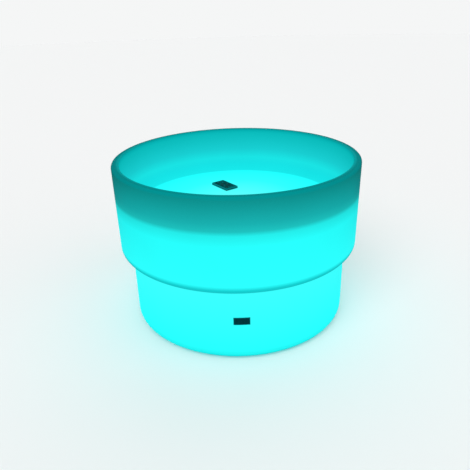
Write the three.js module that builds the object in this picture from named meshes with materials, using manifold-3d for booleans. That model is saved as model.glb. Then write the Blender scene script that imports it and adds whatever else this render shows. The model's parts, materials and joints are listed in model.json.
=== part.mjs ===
// A light-up table: a hollow double-walled shell that glows, a light unit screwed up into a
// hatch under it, and a card remote that lies in the recess of its top.
// Millimetres, +Z up. The origin is the middle of the foot, on the floor, and the front is -Y.

import * as THREE from 'three';
import { mergeVertices } from 'three/addons/utils/BufferGeometryUtils.js';
import Module from 'manifold-3d';

const wasm = await Module();
wasm.setup();

// Facets
const drumFacets = 48;
const unitFacets = 36;
const barrelFacets = 14;
const smallFacets = 8;
const hexFacets = 6;
const arcStep = Math.PI / 6;        // a round takes one facet for each such angle
const domeSteps = 4;

// Shared clearances
const fitGap = 0.3;                 // between curved or turned pieces that seat on each other
const slipGap = 0.1;                // between flat faces of the small remote
const overrun = 1;                  // how far a cutter passes what it cuts
const weld = 0.0001;

// Shell
const tableHeight = 502;
const rimRadius = 370;
const rimWidth = 23;
const rimOuterRound = 8;
const rimInnerRound = 5;
const recessDepth = 144;
const recessTaper = 7;              // the recess wall leans in by this, from rim to floor
const recessRound = 30;
const upperTaper = 3;               // the upper drum is narrower at the step by this
const stepHeight = 230;
const stepWidth = 33;
const stepOuterRound = 20;
const stepInnerRound = 6;
const lowerTaper = 1;
const baseRound = 30;
const footWidth = 63;
const footTaper = 4;
const footRound = 3;
const footHeight = 20;              // the underside is this far above the floor
const shellWall = 5;

// Name plate
const plateWidth = 46;
const plateHeight = 23;
const plateThickness = 1.2;
const plateMiddle = 132;            // height of its middle above the floor

// Battery
const cellRadius = 9.2;
const cellLength = 65;
const cellCount = 4;
const cellGap = 1;
const terminalRadius = 3;
const terminalHeight = 1.4;
const cradleFloor = 2;
const cradleWall = 2.2;
const retainerThickness = 2.4;
const retainerWidth = 30;

// Charging socket, its nut and its cap
const barrelRadius = 5.5;
const barrelLength = 18;
const socketFlangeRadius = 7;
const socketFlangeThickness = 2;
const socketBoreRadius = 3.2;
const socketBoreDepth = 10;
const socketPinRadius = 1;
const socketPinInset = 0.8;
const socketTabLength = 4;
const socketTabWidth = 3;
const socketTabThickness = 1;
const nutAcrossFlats = 14;
const nutThickness = 3;
const capRadius = 7.5;
const capThickness = 2.5;
const capPlugRadius = 2.6;
const capPlugLength = 2.2;
const capPlugHoleRadius = 1.4;
const strapWidth = 5;
const strapThickness = 1.2;
const strapReach = 10.5;            // from the socket's axis to the bend of the strap
const anchorReach = 5;              // from the bend to the anchor's axis
const anchorHeadRadius = 2.8;
const anchorStemRadius = 1.5;
const anchorBarbRadius = 2.2;
const anchorBarbHeight = 1.4;

// Power button, its switch and the status led
const buttonRadius = 6;
const buttonProud = 2.6;
const buttonDish = 0.6;
const buttonCollarRadius = 7.5;
const buttonCollarThickness = 1.6;
const buttonTravel = 2;
const buttonStemRadius = 2.5;
const stemGrip = 3;                 // how far the stem stands in the switch at rest
const switchHeight = 9;
const switchDepth = 12;
const switchPostThickness = 2.3;
const switchLedge = 0.9;
const statusRadius = 1.5;
const statusFlangeRadius = 2;
const statusFlangeThickness = 1;
const statusHeight = 4;
const statusOffset = 17;            // from the button's axis

// Light unit base: flange, cup and what stands in it
const bayGap = 2.5;                 // between the battery and the socket's nut or the button
const cupSpare = 8;                 // between the socket's nut and the cup's wall
const cupWall = 3;
const cupFloor = 3.5;
const cupHeight = 52;               // from the underside to the cup's rim
const hatchGap = 1;
const flangeWidth = 24;
const flangeThickness = 6;
const flangeGap = 0.4;
const sealWidth = 4.4;
const sealThickness = 2.5;
const sealInset = 4;                // from the cup's wall to the seal's groove
const sealGrooveSpare = 0.3;
const screwInset = 8.5;             // from the flange's edge to the screws
const screwCount = 6;
const screwRadius = 2;
const screwLength = 14;
const screwHeadRadius = 4;
const screwHeadHeight = 2.4;
const screwSocketRadius = 1.6;
const screwSocketDepth = 1.4;
const insertRadius = 4;
const insertLength = 9.6;
const insertGrooveDepth = 0.6;
const bossRadius = 7.5;
const bossCap = 5;                  // plastic above the insert's hole
const postRadius = 4;
const postInset = 8;                // from the cup's wall to a post's axis
const postCount = 3;
const ribThickness = 2.5;

// Boards, leds and dome
const boardThickness = 1.6;
const ledBoardGap = 0.6;
const ledBoardDrop = 6;             // the board lies this far under the cup's rim
const boardScrewRadius = 1.2;
const boardScrewLength = 9;
const boardScrewHeadRadius = 2.8;
const boardScrewHeadHeight = 1.8;
const ledSize = 5;
const ledHeight = 1.6;
const ledDishRadius = 1.9;
const ledDishDepth = 0.5;
const ledCount = 12;
const ledRingRadius = 46;
const receiverWidth = 6;
const receiverDepth = 5;
const receiverHeight = 7;
const receiverLensRadius = 2;
const domeRise = 34;
const domeWall = 2;
const domeSpigot = 3;
const controlLength = 66;
const controlWidth = 40;
const controlGap = 5;               // between the retainer and the control board
const pegRadius = 2;
const pegInset = 4;
const chipSize = 12;
const chipHeight = 2;
const coilRadius = 5;
const coilHeight = 5;
const plugLength = 8;
const plugDepth = 5;
const plugHeight = 5;

// Leads
const leadRadius = 1.2;
const leadSteps = 8;
const leadRise = 9;                 // how far a lead rises before it bends over

// Card remote
const remoteLength = 85;
const remoteWidth = 47;
const remoteThickness = 7;
const remoteX = -38.3;
const remoteY = 134;
const remoteTurn = THREE.MathUtils.degToRad(-54.8);
const remoteCorner = 2.2;
const remoteBevel = 0.8;
const remoteWall = 1.4;
const remoteFloor = 0.9;
const remoteSeam = 3.6;             // height of the parting line
const remotePost = 3;
const pcbThickness = 0.8;
const pcbTop = 5.7;
const labelInset = 3;
const labelLedge = 2.6;
const labelThickness = 0.5;
const labelDrop = 0.9;              // depth of the shelf that the membrane lies on
const keyColumns = 6;
const keyRows = 4;
const keyLength = 7.4;
const keyWidth = 5;
const keyHeight = 0.35;
const trayFloor = 0.5;
const trayWall = 2.6;
const trayHeight = 3;
const trayLip = 1.2;
const coinRadius = 10;
const coinHeight = 2.5;
const coinStep = 1.2;
const emitterRadius = 1.5;
const emitterLength = 6;

// Places that follow from the sizes
const underside = footHeight;
const pocketTop = underside + flangeThickness;
const cupFloorTop = underside + cupFloor;
const cupRim = underside + cupHeight;
const nutCorner = nutAcrossFlats / 2 / Math.cos(Math.PI / hexFacets);
const cradleHalfLength = cellLength / 2 + terminalHeight + fitGap + cradleWall;
const socketOffset = cradleHalfLength + bayGap + nutCorner;
const buttonOffset = cradleHalfLength + bayGap + Math.max(buttonCollarRadius, switchDepth / 2);
const cupInner = Math.max(socketOffset + nutCorner, buttonOffset + buttonCollarRadius) + cupSpare;
const cupOuter = cupInner + cupWall;
const hatchRadius = cupOuter + hatchGap;
const pocketRadius = hatchRadius + flangeWidth;
const flangeRadius = pocketRadius - flangeGap;
const grooveInner = cupOuter + sealInset;
const grooveOuter = grooveInner + sealWidth + 2 * sealGrooveSpare;
const screwCircle = flangeRadius - screwInset;
const lowerRadiusTop = rimRadius - upperTaper - stepWidth;
const lowerRadiusBottom = lowerRadiusTop - lowerTaper;
const footInner = lowerRadiusBottom - footWidth;
const recessFloor = tableHeight - recessDepth;
const cellPitch = 2 * cellRadius + cellGap;
const cellAxis = cupFloorTop + cradleFloor + fitGap + cellRadius;
const cradleHalfWidth = (cellCount - 1) / 2 * cellPitch + cellRadius + fitGap + cradleWall;
const retainerUnder = cellAxis + cellRadius + fitGap;
const controlUnder = retainerUnder + retainerThickness + controlGap;
const controlTop = controlUnder + boardThickness;
const ledBoardUnder = cupRim - ledBoardDrop;
const ledBoardTop = ledBoardUnder + boardThickness;
const ledBoardRadius = cupInner - ledBoardGap;
const postCircle = cupInner - postInset;
const capTop = underside - socketFlangeThickness - fitGap;
const buttonCollarUnder = cupFloorTop + fitGap;
const switchUnder = buttonCollarUnder + buttonCollarThickness + buttonTravel + switchLedge + 2 * fitGap;
const switchHalfWidth = buttonCollarRadius + fitGap;
const stemTop = switchUnder + stemGrip;

// Materials, one function for each finish
function finish(color, roughness, metalness) {
  return new THREE.MeshStandardMaterial({ color, roughness, metalness });
}

function glowingPlastic() {
  const material = finish(0x2fe6e2, 0.45, 0);
  material.emissive = new THREE.Color(0x14d8d4);
  return material;
}

function plateBlack() {
  return finish(0x0b2a2e, 0.4, 0);
}

function whiteMoulding() {
  return finish(0xe9ecec, 0.55, 0);
}

function opalPlastic() {
  return finish(0xf2f6f6, 0.35, 0);
}

function blackRubber() {
  return finish(0x1a1c1e, 0.85, 0);
}

function brass() {
  return finish(0xb99a4d, 0.35, 1);
}

function screwSteel() {
  return finish(0xb8bcc0, 0.3, 1);
}

function boardGreen() {
  return finish(0x1f6b3e, 0.5, 0);
}

function boardWhite() {
  return finish(0xf0f2ef, 0.4, 0);
}

function ledResin() {
  return finish(0xf6f3d8, 0.25, 0);
}

function darkResin() {
  return finish(0x17181c, 0.2, 0);
}

function cellWrap() {
  return finish(0x2f6fb4, 0.35, 0);
}

function darkCase() {
  return finish(0x10363a, 0.5, 0);
}

function membranePrint() {
  return finish(0x123f44, 0.55, 0);
}

// Solids
function solidOf(geometry) {
  geometry.deleteAttribute('normal');
  geometry.deleteAttribute('uv');
  const merged = mergeVertices(geometry, weld);
  const corners = merged.index.array;
  const kept = [];
  for (let i = 0; i < corners.length; i += 3) {
    const [a, b, c] = corners.slice(i, i + 3);
    if (a !== b && b !== c && c !== a) {
      kept.push(a, b, c);
    }
  }
  return new wasm.Manifold(new wasm.Mesh({
    numProp: 3,
    vertProperties: merged.attributes.position.array,
    triVerts: new Uint32Array(kept),
  }));
}

function geometryOf(solid) {
  const mesh = solid.getMesh();
  const geometry = new THREE.BufferGeometry();
  geometry.setAttribute('position', new THREE.BufferAttribute(mesh.vertProperties, 3));
  geometry.setIndex(new THREE.BufferAttribute(mesh.triVerts, 1));
  geometry.computeVertexNormals();
  return geometry;
}

// A solid of revolution about Z. Its outline runs with the material on its left.
function turned(outline, facets) {
  const points = outline.map(([r, z]) => new THREE.Vector2(r, z));
  const geometry = new THREE.LatheGeometry(points, facets);
  geometry.rotateX(Math.PI / 2);
  return solidOf(geometry);
}

// A ring of revolution, whose outline closes on itself.
function turnedRing(outline, facets) {
  return turned([...outline, outline[0]], facets);
}

function cylinder(radius, low, high, facets) {
  return turned([[0, low], [radius, low], [radius, high], [0, high]], facets);
}

function block(lowX, highX, lowY, highY, lowZ, highZ) {
  const geometry = new THREE.BoxGeometry(highX - lowX, highY - lowY, highZ - lowZ);
  geometry.translate((lowX + highX) / 2, (lowY + highY) / 2, (lowZ + highZ) / 2);
  return solidOf(geometry);
}

function middleBlock(length, width, low, high) {
  return block(-length / 2, length / 2, -width / 2, width / 2, low, high);
}

function extruded(shape, low, high) {
  const geometry = new THREE.ExtrudeGeometry(shape, { depth: high - low, bevelEnabled: false });
  geometry.translate(0, 0, low);
  return solidOf(geometry);
}

function polygonShape(sides, radius) {
  const shape = new THREE.Shape();
  for (let i = 0; i < sides; i += 1) {
    const angle = 2 * Math.PI * i / sides;
    const point = [radius * Math.cos(angle), radius * Math.sin(angle)];
    if (i === 0) {
      shape.moveTo(...point);
    } else {
      shape.lineTo(...point);
    }
  }
  shape.closePath();
  return shape;
}

function roundedRectangle(length, width, corner) {
  const x = length / 2 - corner;
  const y = width / 2 - corner;
  const shape = new THREE.Shape();
  shape.moveTo(x, -y - corner);
  shape.absarc(x, -y, corner, -Math.PI / 2, 0);
  shape.absarc(x, y, corner, 0, Math.PI / 2);
  shape.absarc(-x, y, corner, Math.PI / 2, Math.PI);
  shape.absarc(-x, -y, corner, Math.PI, 3 * Math.PI / 2);
  return shape;
}

function joined(solids) {
  return solids.reduce((whole, piece) => whole.add(piece));
}

function without(solid, cutters) {
  return cutters.reduce((rest, cutter) => rest.subtract(cutter), solid);
}

function moved(solid, x, y, z = 0) {
  return solid.translate([x, y, z]);
}

// Copies of a solid round the Z axis, the first one at an angle from +X.
function around(solid, radius, count, start = 0) {
  const copies = [];
  for (let i = 0; i < count; i += 1) {
    const angle = start + 360 * i / count;
    copies.push(moved(solid, radius, 0).rotate([0, 0, angle]));
  }
  return copies;
}

// A path through corners [r, z, round], with an arc in each corner that has a round.
function roundedPath(corners) {
  const path = [];
  corners.forEach(([r, z, round], i) => {
    if (!round) {
      path.push([r, z]);
      return;
    }
    const corner = new THREE.Vector2(r, z);
    const back = new THREE.Vector2(...corners[i - 1]).sub(corner);
    const ahead = new THREE.Vector2(...corners[i + 1]).sub(corner);
    const room = Math.min(back.length(), ahead.length()) / 2;
    back.normalize();
    ahead.normalize();
    const half = Math.acos(back.dot(ahead)) / 2;
    const radius = Math.min(round, room * Math.tan(half));
    const start = corner.clone().addScaledVector(back, radius / Math.tan(half));
    const inward = back.clone().add(ahead).normalize();
    const centre = corner.clone().addScaledVector(inward, radius / Math.sin(half));
    const sweep = Math.sign(ahead.cross(back)) * (Math.PI - 2 * half);
    const steps = Math.ceil(Math.abs(sweep) / arcStep);
    for (let k = 0; k <= steps; k += 1) {
      const point = start.clone().rotateAround(centre, sweep * k / steps);
      path.push([point.x, point.y]);
    }
  });
  return path;
}

// The same corners moved into the material on the path's left, by the wall.
function inside(corners, wall) {
  const sides = corners.slice(1).map((corner, i) => {
    const along = new THREE.Vector2(...corner).sub(new THREE.Vector2(...corners[i])).normalize();
    return { along, left: new THREE.Vector2(-along.y, along.x) };
  });
  return corners.map(([r, z, round], i) => {
    const before = sides[i - 1] ?? sides[i];
    const after = sides[i] ?? before;
    const turn = before.along.cross(after.along);
    const slant = before.left.clone().add(after.left);
    const shift = slant.multiplyScalar(2 * wall / slant.lengthSq());
    const inner = turn > 0 ? Math.max(round - wall, 0) : round + wall;
    return [r + shift.x, z + shift.y, round ? inner : 0];
  });
}

// Shell: one moulding whose chamber is open only at the hatch
function shellCorners() {
  return [
    [hatchRadius, pocketTop, 0],
    [pocketRadius, pocketTop, 0],
    [pocketRadius, underside, 0],
    [footInner - footTaper, underside, 0],
    [footInner, 0, footRound],
    [lowerRadiusBottom, 0, baseRound],
    [lowerRadiusTop, stepHeight, stepInnerRound],
    [rimRadius - upperTaper, stepHeight, stepOuterRound],
    [rimRadius, tableHeight, rimOuterRound],
    [rimRadius - rimWidth, tableHeight, rimInnerRound],
    [rimRadius - rimWidth - recessTaper, recessFloor, recessRound],
    [0, recessFloor, 0],
  ];
}

function shell() {
  const outside = roundedPath(shellCorners());
  const chamber = roundedPath(inside(shellCorners(), shellWall)).reverse();
  const body = turned([...chamber, ...outside], drumFacets);
  const holeTop = pocketTop + insertLength + 2 * fitGap;
  const boss = cylinder(bossRadius, pocketTop + shellWall / 2, holeTop + bossCap, smallFacets);
  const hole = cylinder(insertRadius + fitGap, pocketTop - overrun, holeTop, hexFacets);
  const bosses = around(boss, screwCircle, screwCount);
  return without(joined([body, ...bosses]), around(hole, screwCircle, screwCount));
}

function lowerDrumRadius(height) {
  return lowerRadiusBottom + lowerTaper * height / stepHeight;
}

function namePlate() {
  const low = plateMiddle - plateHeight / 2;
  const high = plateMiddle + plateHeight / 2;
  const lowSeat = lowerDrumRadius(low) + fitGap;
  const highSeat = lowerDrumRadius(high) + fitGap;
  const band = turnedRing([
    [lowSeat, low],
    [lowSeat + plateThickness, low],
    [highSeat + plateThickness, high],
    [highSeat, high],
  ], drumFacets);
  const halfWidth = plateWidth / 2;
  return band.intersect(block(-halfWidth, halfWidth, -rimRadius, 0, 0, tableHeight));
}

// A hexagonal insert, held in its boss by a groove
function insert() {
  const low = pocketTop + fitGap;
  const third = insertLength / 3;
  const groove = insertRadius - insertGrooveDepth;
  return turnedRing([
    [screwRadius + fitGap, low],
    [insertRadius, low],
    [insertRadius, low + third],
    [groove, low + third],
    [groove, low + 2 * third],
    [insertRadius, low + 2 * third],
    [insertRadius, low + insertLength],
    [screwRadius + fitGap, low + insertLength],
  ], hexFacets);
}

// A pan head and a shank, with the head's seat at z = 0 and the shank along +Z
function panScrew(radius, length, headRadius, headHeight, socketRadius, socketDepth) {
  const crownShare = 0.7;
  return turned([
    [0, socketDepth - headHeight],
    [socketRadius, socketDepth - headHeight],
    [socketRadius, -headHeight],
    [headRadius * crownShare, -headHeight],
    [headRadius, -headHeight / 2],
    [headRadius, 0],
    [radius, 0],
    [radius, length],
    [0, length],
  ], smallFacets);
}

function flangeScrew() {
  const screw = panScrew(screwRadius, screwLength, screwHeadRadius, screwHeadHeight,
    screwSocketRadius, screwSocketDepth);
  return moved(screw, 0, 0, underside);
}

function boardScrew() {
  const socketShare = 0.4;
  const screw = panScrew(boardScrewRadius, boardScrewLength, boardScrewHeadRadius,
    boardScrewHeadHeight, boardScrewHeadRadius * socketShare, boardScrewHeadHeight / 2);
  return moved(screw.rotate([180, 0, 0]), 0, 0, ledBoardTop);
}

// Light unit base
function baseProfile() {
  return [
    [0, underside],
    [flangeRadius, underside],
    [flangeRadius, pocketTop],
    [grooveOuter, pocketTop],
    [grooveOuter, pocketTop - sealThickness],
    [grooveInner, pocketTop - sealThickness],
    [grooveInner, pocketTop],
    [cupOuter, pocketTop],
    [cupOuter, cupRim],
    [cupInner, cupRim],
    [cupInner, cupFloorTop],
    [0, cupFloorTop],
  ];
}

function boardPost() {
  const rib = block(0, postInset + cupWall / 2, -ribThickness / 2, ribThickness / 2,
    underside + cupFloor / 2, ledBoardUnder);
  return cylinder(postRadius, underside + cupFloor / 2, ledBoardUnder, smallFacets).add(rib);
}

// The switch hangs between two posts, on a ledge of each, above the button
function switchPost() {
  const near = switchHalfWidth + fitGap;
  const low = underside + cupFloor / 2;
  const post = block(near, near + switchPostThickness, -switchDepth / 2, switchDepth / 2,
    low, switchUnder + switchHeight / 2);
  const ledge = block(near - switchPostThickness, near + switchPostThickness / 2,
    -switchDepth / 2, switchDepth / 2, switchUnder - switchLedge, switchUnder);
  return post.add(ledge);
}

function lightUnitBase() {
  const posts = around(boardPost(), postCircle, postCount);
  const right = moved(switchPost(), 0, buttonOffset);
  const left = right.mirror([1, 0, 0]);
  const body = joined([turned(baseProfile(), unitFacets), ...posts, right, left]);
  const screwHole = cylinder(screwRadius + fitGap, underside - overrun, pocketTop + overrun, smallFacets);
  const pilot = cylinder(boardScrewRadius + fitGap, ledBoardTop - boardScrewLength - fitGap,
    ledBoardUnder + overrun, smallFacets);
  const floorHole = (radius, facets) => cylinder(radius + fitGap, underside - overrun,
    cupFloorTop + overrun, facets);
  return without(body, [
    ...around(screwHole, screwCircle, screwCount),
    ...around(pilot, postCircle, postCount),
    moved(floorHole(barrelRadius, barrelFacets), 0, -socketOffset),
    moved(floorHole(anchorStemRadius, smallFacets), strapReach + anchorReach, -socketOffset),
    moved(floorHole(buttonRadius, barrelFacets), 0, buttonOffset),
    moved(floorHole(statusRadius, smallFacets), statusOffset, buttonOffset),
  ]);
}

function flangeSeal() {
  const inner = grooveInner + sealGrooveSpare;
  const low = pocketTop - sealThickness;
  return turnedRing([
    [inner, low],
    [inner + sealWidth, low],
    [inner + sealWidth, pocketTop],
    [inner, pocketTop],
  ], unitFacets);
}

// Battery
function cellX(index) {
  return (index - (cellCount - 1) / 2) * cellPitch;
}

function batteryCell() {
  const cell = turned([
    [0, -cellLength / 2],
    [cellRadius, -cellLength / 2],
    [cellRadius, cellLength / 2],
    [terminalRadius, cellLength / 2],
    [terminalRadius, cellLength / 2 + terminalHeight],
    [0, cellLength / 2 + terminalHeight],
  ], barrelFacets);
  return cell.rotate([90, 0, 0]);
}

function batteryCradle() {
  const trough = cylinder(cellRadius + fitGap, -cradleHalfLength + cradleWall,
    cradleHalfLength - cradleWall, barrelFacets).rotate([90, 0, 0]);
  const troughs = [];
  for (let i = 0; i < cellCount; i += 1) {
    troughs.push(moved(trough, cellX(i), 0, cellAxis));
  }
  const body = middleBlock(2 * cradleHalfWidth, 2 * cradleHalfLength, cupFloorTop, cellAxis);
  return without(body, troughs);
}

function cellRetainer() {
  const inner = cradleHalfWidth + fitGap;
  const outer = inner + retainerThickness;
  const bridge = middleBlock(2 * outer, retainerWidth, retainerUnder, retainerUnder + retainerThickness);
  const leg = block(inner, outer, -retainerWidth / 2, retainerWidth / 2,
    cupFloorTop, retainerUnder + retainerThickness / 2);
  const peg = cylinder(pegRadius, retainerUnder + retainerThickness / 2, controlUnder, smallFacets);
  const pegs = [];
  for (const side of [-1, 1]) {
    for (const end of [-1, 1]) {
      pegs.push(moved(peg, side * (controlLength / 2 - pegInset), end * (retainerWidth / 2 - pegInset)));
    }
  }
  return joined([bridge, leg, leg.mirror([1, 0, 0]), ...pegs]);
}

// Boards
function plugBlock(low) {
  return block(-plugLength / 2, plugLength / 2, 0, plugDepth, low, low + plugHeight);
}

function controlBoard() {
  const seat = controlTop - boardThickness / 2;
  const edge = controlWidth / 2;
  const nearEdge = moved(plugBlock(seat), 0, -edge);
  const farEdge = moved(plugBlock(seat), 0, edge - plugDepth);
  return joined([
    middleBlock(controlLength, controlWidth, controlUnder, controlTop),
    nearEdge,
    farEdge,
    moved(nearEdge, cellX(0), 0),
    moved(plugBlock(seat), -cellX(0) - plugLength / 2, -plugDepth / 2),
    moved(middleBlock(chipSize, chipSize, seat, controlTop + chipHeight), -chipSize, 0),
    moved(cylinder(coilRadius, seat, controlTop + coilHeight, smallFacets), chipSize, 0),
  ]);
}

function ledBoard() {
  const disc = cylinder(ledBoardRadius, ledBoardUnder, ledBoardTop, unitFacets);
  const hole = cylinder(boardScrewRadius + fitGap, ledBoardUnder - overrun,
    ledBoardTop + overrun, smallFacets);
  return without(disc, around(hole, postCircle, postCount));
}

function led() {
  const body = middleBlock(ledSize, ledSize, ledBoardTop, ledBoardTop + ledHeight);
  const dish = cylinder(ledDishRadius, ledBoardTop + ledHeight - ledDishDepth,
    ledBoardTop + ledHeight + overrun, smallFacets);
  return without(body, [dish]);
}

function infraredReceiver() {
  const top = ledBoardTop + receiverHeight;
  const body = middleBlock(receiverWidth, receiverDepth, ledBoardTop, top);
  const lens = new THREE.SphereGeometry(receiverLensRadius, smallFacets, smallFacets / 2);
  return body.add(moved(solidOf(lens), 0, 0, top));
}

// An opal dome: a part of a ball, with a spigot that stands in the cup
function diffuserDome() {
  const ballRadius = (cupOuter * cupOuter + domeRise * domeRise) / (2 * domeRise);
  const ballMiddle = cupRim + domeRise - ballRadius;
  const reach = Math.asin(cupOuter / ballRadius);
  const spigotOuter = cupInner - fitGap;
  const spigotInner = spigotOuter - domeWall;
  const innerRadius = ballRadius - domeWall;
  const innerReach = Math.asin(spigotInner / innerRadius);
  const under = [];
  const over = [];
  for (let i = 0; i <= domeSteps; i += 1) {
    const innerAngle = innerReach * i / domeSteps;
    under.push([innerRadius * Math.sin(innerAngle), ballMiddle + innerRadius * Math.cos(innerAngle)]);
    const angle = reach * (1 - i / domeSteps);
    over.push([ballRadius * Math.sin(angle), ballMiddle + ballRadius * Math.cos(angle)]);
  }
  return turned([
    ...under,
    [spigotInner, cupRim - domeSpigot],
    [spigotOuter, cupRim - domeSpigot],
    [spigotOuter, cupRim],
    ...over,
  ], unitFacets);
}

// Charging socket, seen from below: a flange, a bore and its pin
function chargingSocket() {
  const flangeUnder = underside - socketFlangeThickness;
  const barrelTop = underside + barrelLength;
  const body = turned([
    [0, flangeUnder + socketPinInset],
    [socketPinRadius, flangeUnder + socketPinInset],
    [socketPinRadius, flangeUnder + socketBoreDepth],
    [socketBoreRadius, flangeUnder + socketBoreDepth],
    [socketBoreRadius, flangeUnder],
    [socketFlangeRadius, flangeUnder],
    [socketFlangeRadius, underside],
    [barrelRadius, underside],
    [barrelRadius, barrelTop],
    [0, barrelTop],
  ], barrelFacets);
  const tab = middleBlock(socketTabWidth, socketTabThickness, barrelTop - overrun,
    barrelTop + socketTabLength);
  const tabOffset = barrelRadius / 2;
  return joined([body, moved(tab, 0, tabOffset), moved(tab, 0, -tabOffset)]);
}

function socketNut() {
  const hexagon = extruded(polygonShape(hexFacets, nutCorner), cupFloorTop, cupFloorTop + nutThickness);
  const hole = cylinder(barrelRadius + fitGap, underside, cupRim, barrelFacets);
  return without(hexagon, [hole]);
}

function strapUnder() {
  return capTop - strapThickness;
}

function socketCap() {
  const plugTop = capTop + capPlugLength;
  const holeFloor = capTop + fitGap;
  const disc = turned([
    [0, capTop - capThickness],
    [capRadius, capTop - capThickness],
    [capRadius, capTop],
    [capPlugRadius, capTop],
    [capPlugRadius, plugTop],
    [capPlugHoleRadius, plugTop],
    [capPlugHoleRadius, holeFloor],
    [0, holeFloor],
  ], barrelFacets);
  const strap = block(capRadius - strapThickness, strapReach, -strapWidth / 2, strapWidth / 2,
    strapUnder(), capTop);
  return disc.add(strap);
}

function capAnchor() {
  const barbLow = cupFloorTop + fitGap;
  const stud = turned([
    [0, strapUnder()],
    [anchorHeadRadius, strapUnder()],
    [anchorHeadRadius, underside - fitGap],
    [anchorStemRadius, underside - fitGap],
    [anchorStemRadius, barbLow],
    [anchorBarbRadius, barbLow],
    [anchorStemRadius, barbLow + anchorBarbHeight],
    [0, barbLow + anchorBarbHeight],
  ], smallFacets);
  const strap = block(fitGap - anchorReach, 0, -strapWidth / 2, strapWidth / 2, strapUnder(), capTop);
  return stud.add(strap);
}

// Power button, pushed up from below
function powerButton() {
  const face = underside - buttonProud;
  return turned([
    [0, face + buttonDish],
    [buttonRadius / 2, face + buttonDish],
    [buttonRadius - buttonDish, face],
    [buttonRadius, face + buttonDish],
    [buttonRadius, buttonCollarUnder],
    [buttonCollarRadius, buttonCollarUnder],
    [buttonCollarRadius, buttonCollarUnder + buttonCollarThickness],
    [buttonStemRadius, buttonCollarUnder + buttonCollarThickness],
    [buttonStemRadius, stemTop],
    [0, stemTop],
  ], barrelFacets);
}

function buttonSwitch() {
  const body = middleBlock(2 * switchHalfWidth, switchDepth, switchUnder, switchUnder + switchHeight);
  const well = cylinder(buttonStemRadius + fitGap, switchUnder - overrun,
    stemTop + buttonTravel + fitGap, barrelFacets);
  return without(body, [well]);
}

function statusLed() {
  const flangeUnder = cupFloorTop + fitGap;
  const flangeTop = flangeUnder + statusFlangeThickness;
  return turned([
    [0, underside],
    [statusRadius / 2, underside],
    [statusRadius, underside + statusRadius / 2],
    [statusRadius, flangeUnder],
    [statusFlangeRadius, flangeUnder],
    [statusFlangeRadius, flangeTop],
    [statusRadius, flangeTop],
    [statusRadius, flangeTop + statusHeight],
    [0, flangeTop + statusHeight],
  ], smallFacets);
}

// Leads: tubes along smooth curves, each from one solder point to one plug
function lead(points) {
  const curve = new THREE.CatmullRomCurve3(points.map((point) => new THREE.Vector3(...point)));
  return solidOf(new THREE.ExtrudeGeometry(polygonShape(hexFacets, leadRadius), {
    steps: leadSteps,
    bevelEnabled: false,
    extrudePath: curve,
  }));
}

function plugAxis() {
  return controlTop + plugHeight / 2;
}

// A lead that rises at (x, y), bends over and runs level into a plug on the board's edge
function edgeLead(x, y, low) {
  const side = Math.sign(y);
  const plugFace = side * (controlWidth / 2 + fitGap);
  const bend = plugAxis() - leadRadius;
  const levelShare = 0.5;
  return lead([
    [x, y, low],
    [x, y, low + (bend - low) / 2],
    [x, y + (plugFace - y) * levelShare / 2, bend],
    [x, y + (plugFace - y) * levelShare, plugAxis()],
    [x, plugFace, plugAxis()],
  ]);
}

function socketLead() {
  return edgeLead(0, -socketOffset, underside + barrelLength + socketTabLength + fitGap);
}

function switchLead() {
  return edgeLead(0, buttonOffset, switchUnder + switchHeight + fitGap);
}

function batteryLead() {
  const x = cellX(0);
  const start = cellLength / 2 + terminalHeight + fitGap;
  const low = cellAxis + cellRadius / 2;
  const plugFace = controlWidth / 2 + fitGap;
  const out = start + leadRise / 2;
  return lead([
    [x, -start, low],
    [x, -out, low + leadRadius],
    [x, -out, low + leadRise],
    [x, -start, plugAxis()],
    [x, -plugFace, plugAxis()],
  ]);
}

function ledLead() {
  const x = -cellX(0) - plugLength / 2;
  const low = controlTop + plugHeight + fitGap;
  const high = ledBoardUnder - fitGap;
  const straight = (high - low) / 4;
  return lead([
    [x, 0, low],
    [x, 0, low + straight],
    [x, leadRadius, (low + high) / 2],
    [x, 0, high - straight],
    [x, 0, high],
  ]);
}

// Card remote, flat on z = 0 with its length along X and its tray at the +X end
function remoteBody() {
  const outline = roundedRectangle(remoteLength - 2 * remoteBevel, remoteWidth - 2 * remoteBevel,
    remoteCorner - remoteBevel);
  const geometry = new THREE.ExtrudeGeometry(outline, {
    depth: remoteThickness - 2 * remoteBevel,
    bevelThickness: remoteBevel,
    bevelSize: remoteBevel,
    bevelSegments: 2,
    curveSegments: 4,
  });
  geometry.translate(0, 0, remoteBevel);
  return solidOf(geometry);
}

function remoteRoom(low, high) {
  return middleBlock(remoteLength - 2 * remoteWall, remoteWidth - 2 * remoteWall, low, high);
}

function trayHalfWidth() {
  return coinRadius + fitGap + trayWall;
}

function trayUnder() {
  return remoteFloor + fitGap;
}

function trayCentre() {
  return remoteLength / 2 - trayLip - coinRadius - fitGap - trayWall / 2;
}

// The slot that the battery tray slides in through
function traySlot() {
  const half = trayHalfWidth() + fitGap;
  return block(0, remoteLength, -half, half, remoteFloor, trayUnder() + trayHeight + 2 * fitGap);
}

function emitterAxis() {
  return pcbTop - pcbThickness - fitGap - emitterRadius;
}

function emitterHole() {
  const hole = cylinder(emitterRadius + fitGap, 0, remoteLength, smallFacets);
  return moved(hole.rotate([0, -90, 0]), 0, 0, emitterAxis());
}

function remoteBackCase() {
  const lower = remoteBody().intersect(middleBlock(2 * remoteLength, 2 * remoteWidth, -overrun,
    remoteSeam));
  const opened = without(lower, [remoteRoom(remoteFloor, remoteThickness), traySlot(), emitterHole()]);
  const post = middleBlock(remotePost, remotePost, remoteFloor / 2, pcbTop - pcbThickness - slipGap);
  const postX = remoteLength / 4;
  const postY = remoteWidth / 2 - remoteWall - remotePost;
  return joined([opened, moved(post, -postX, postY), moved(post, -postX, -postY),
    moved(post, postX, postY), moved(post, postX, -postY)]);
}

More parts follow.
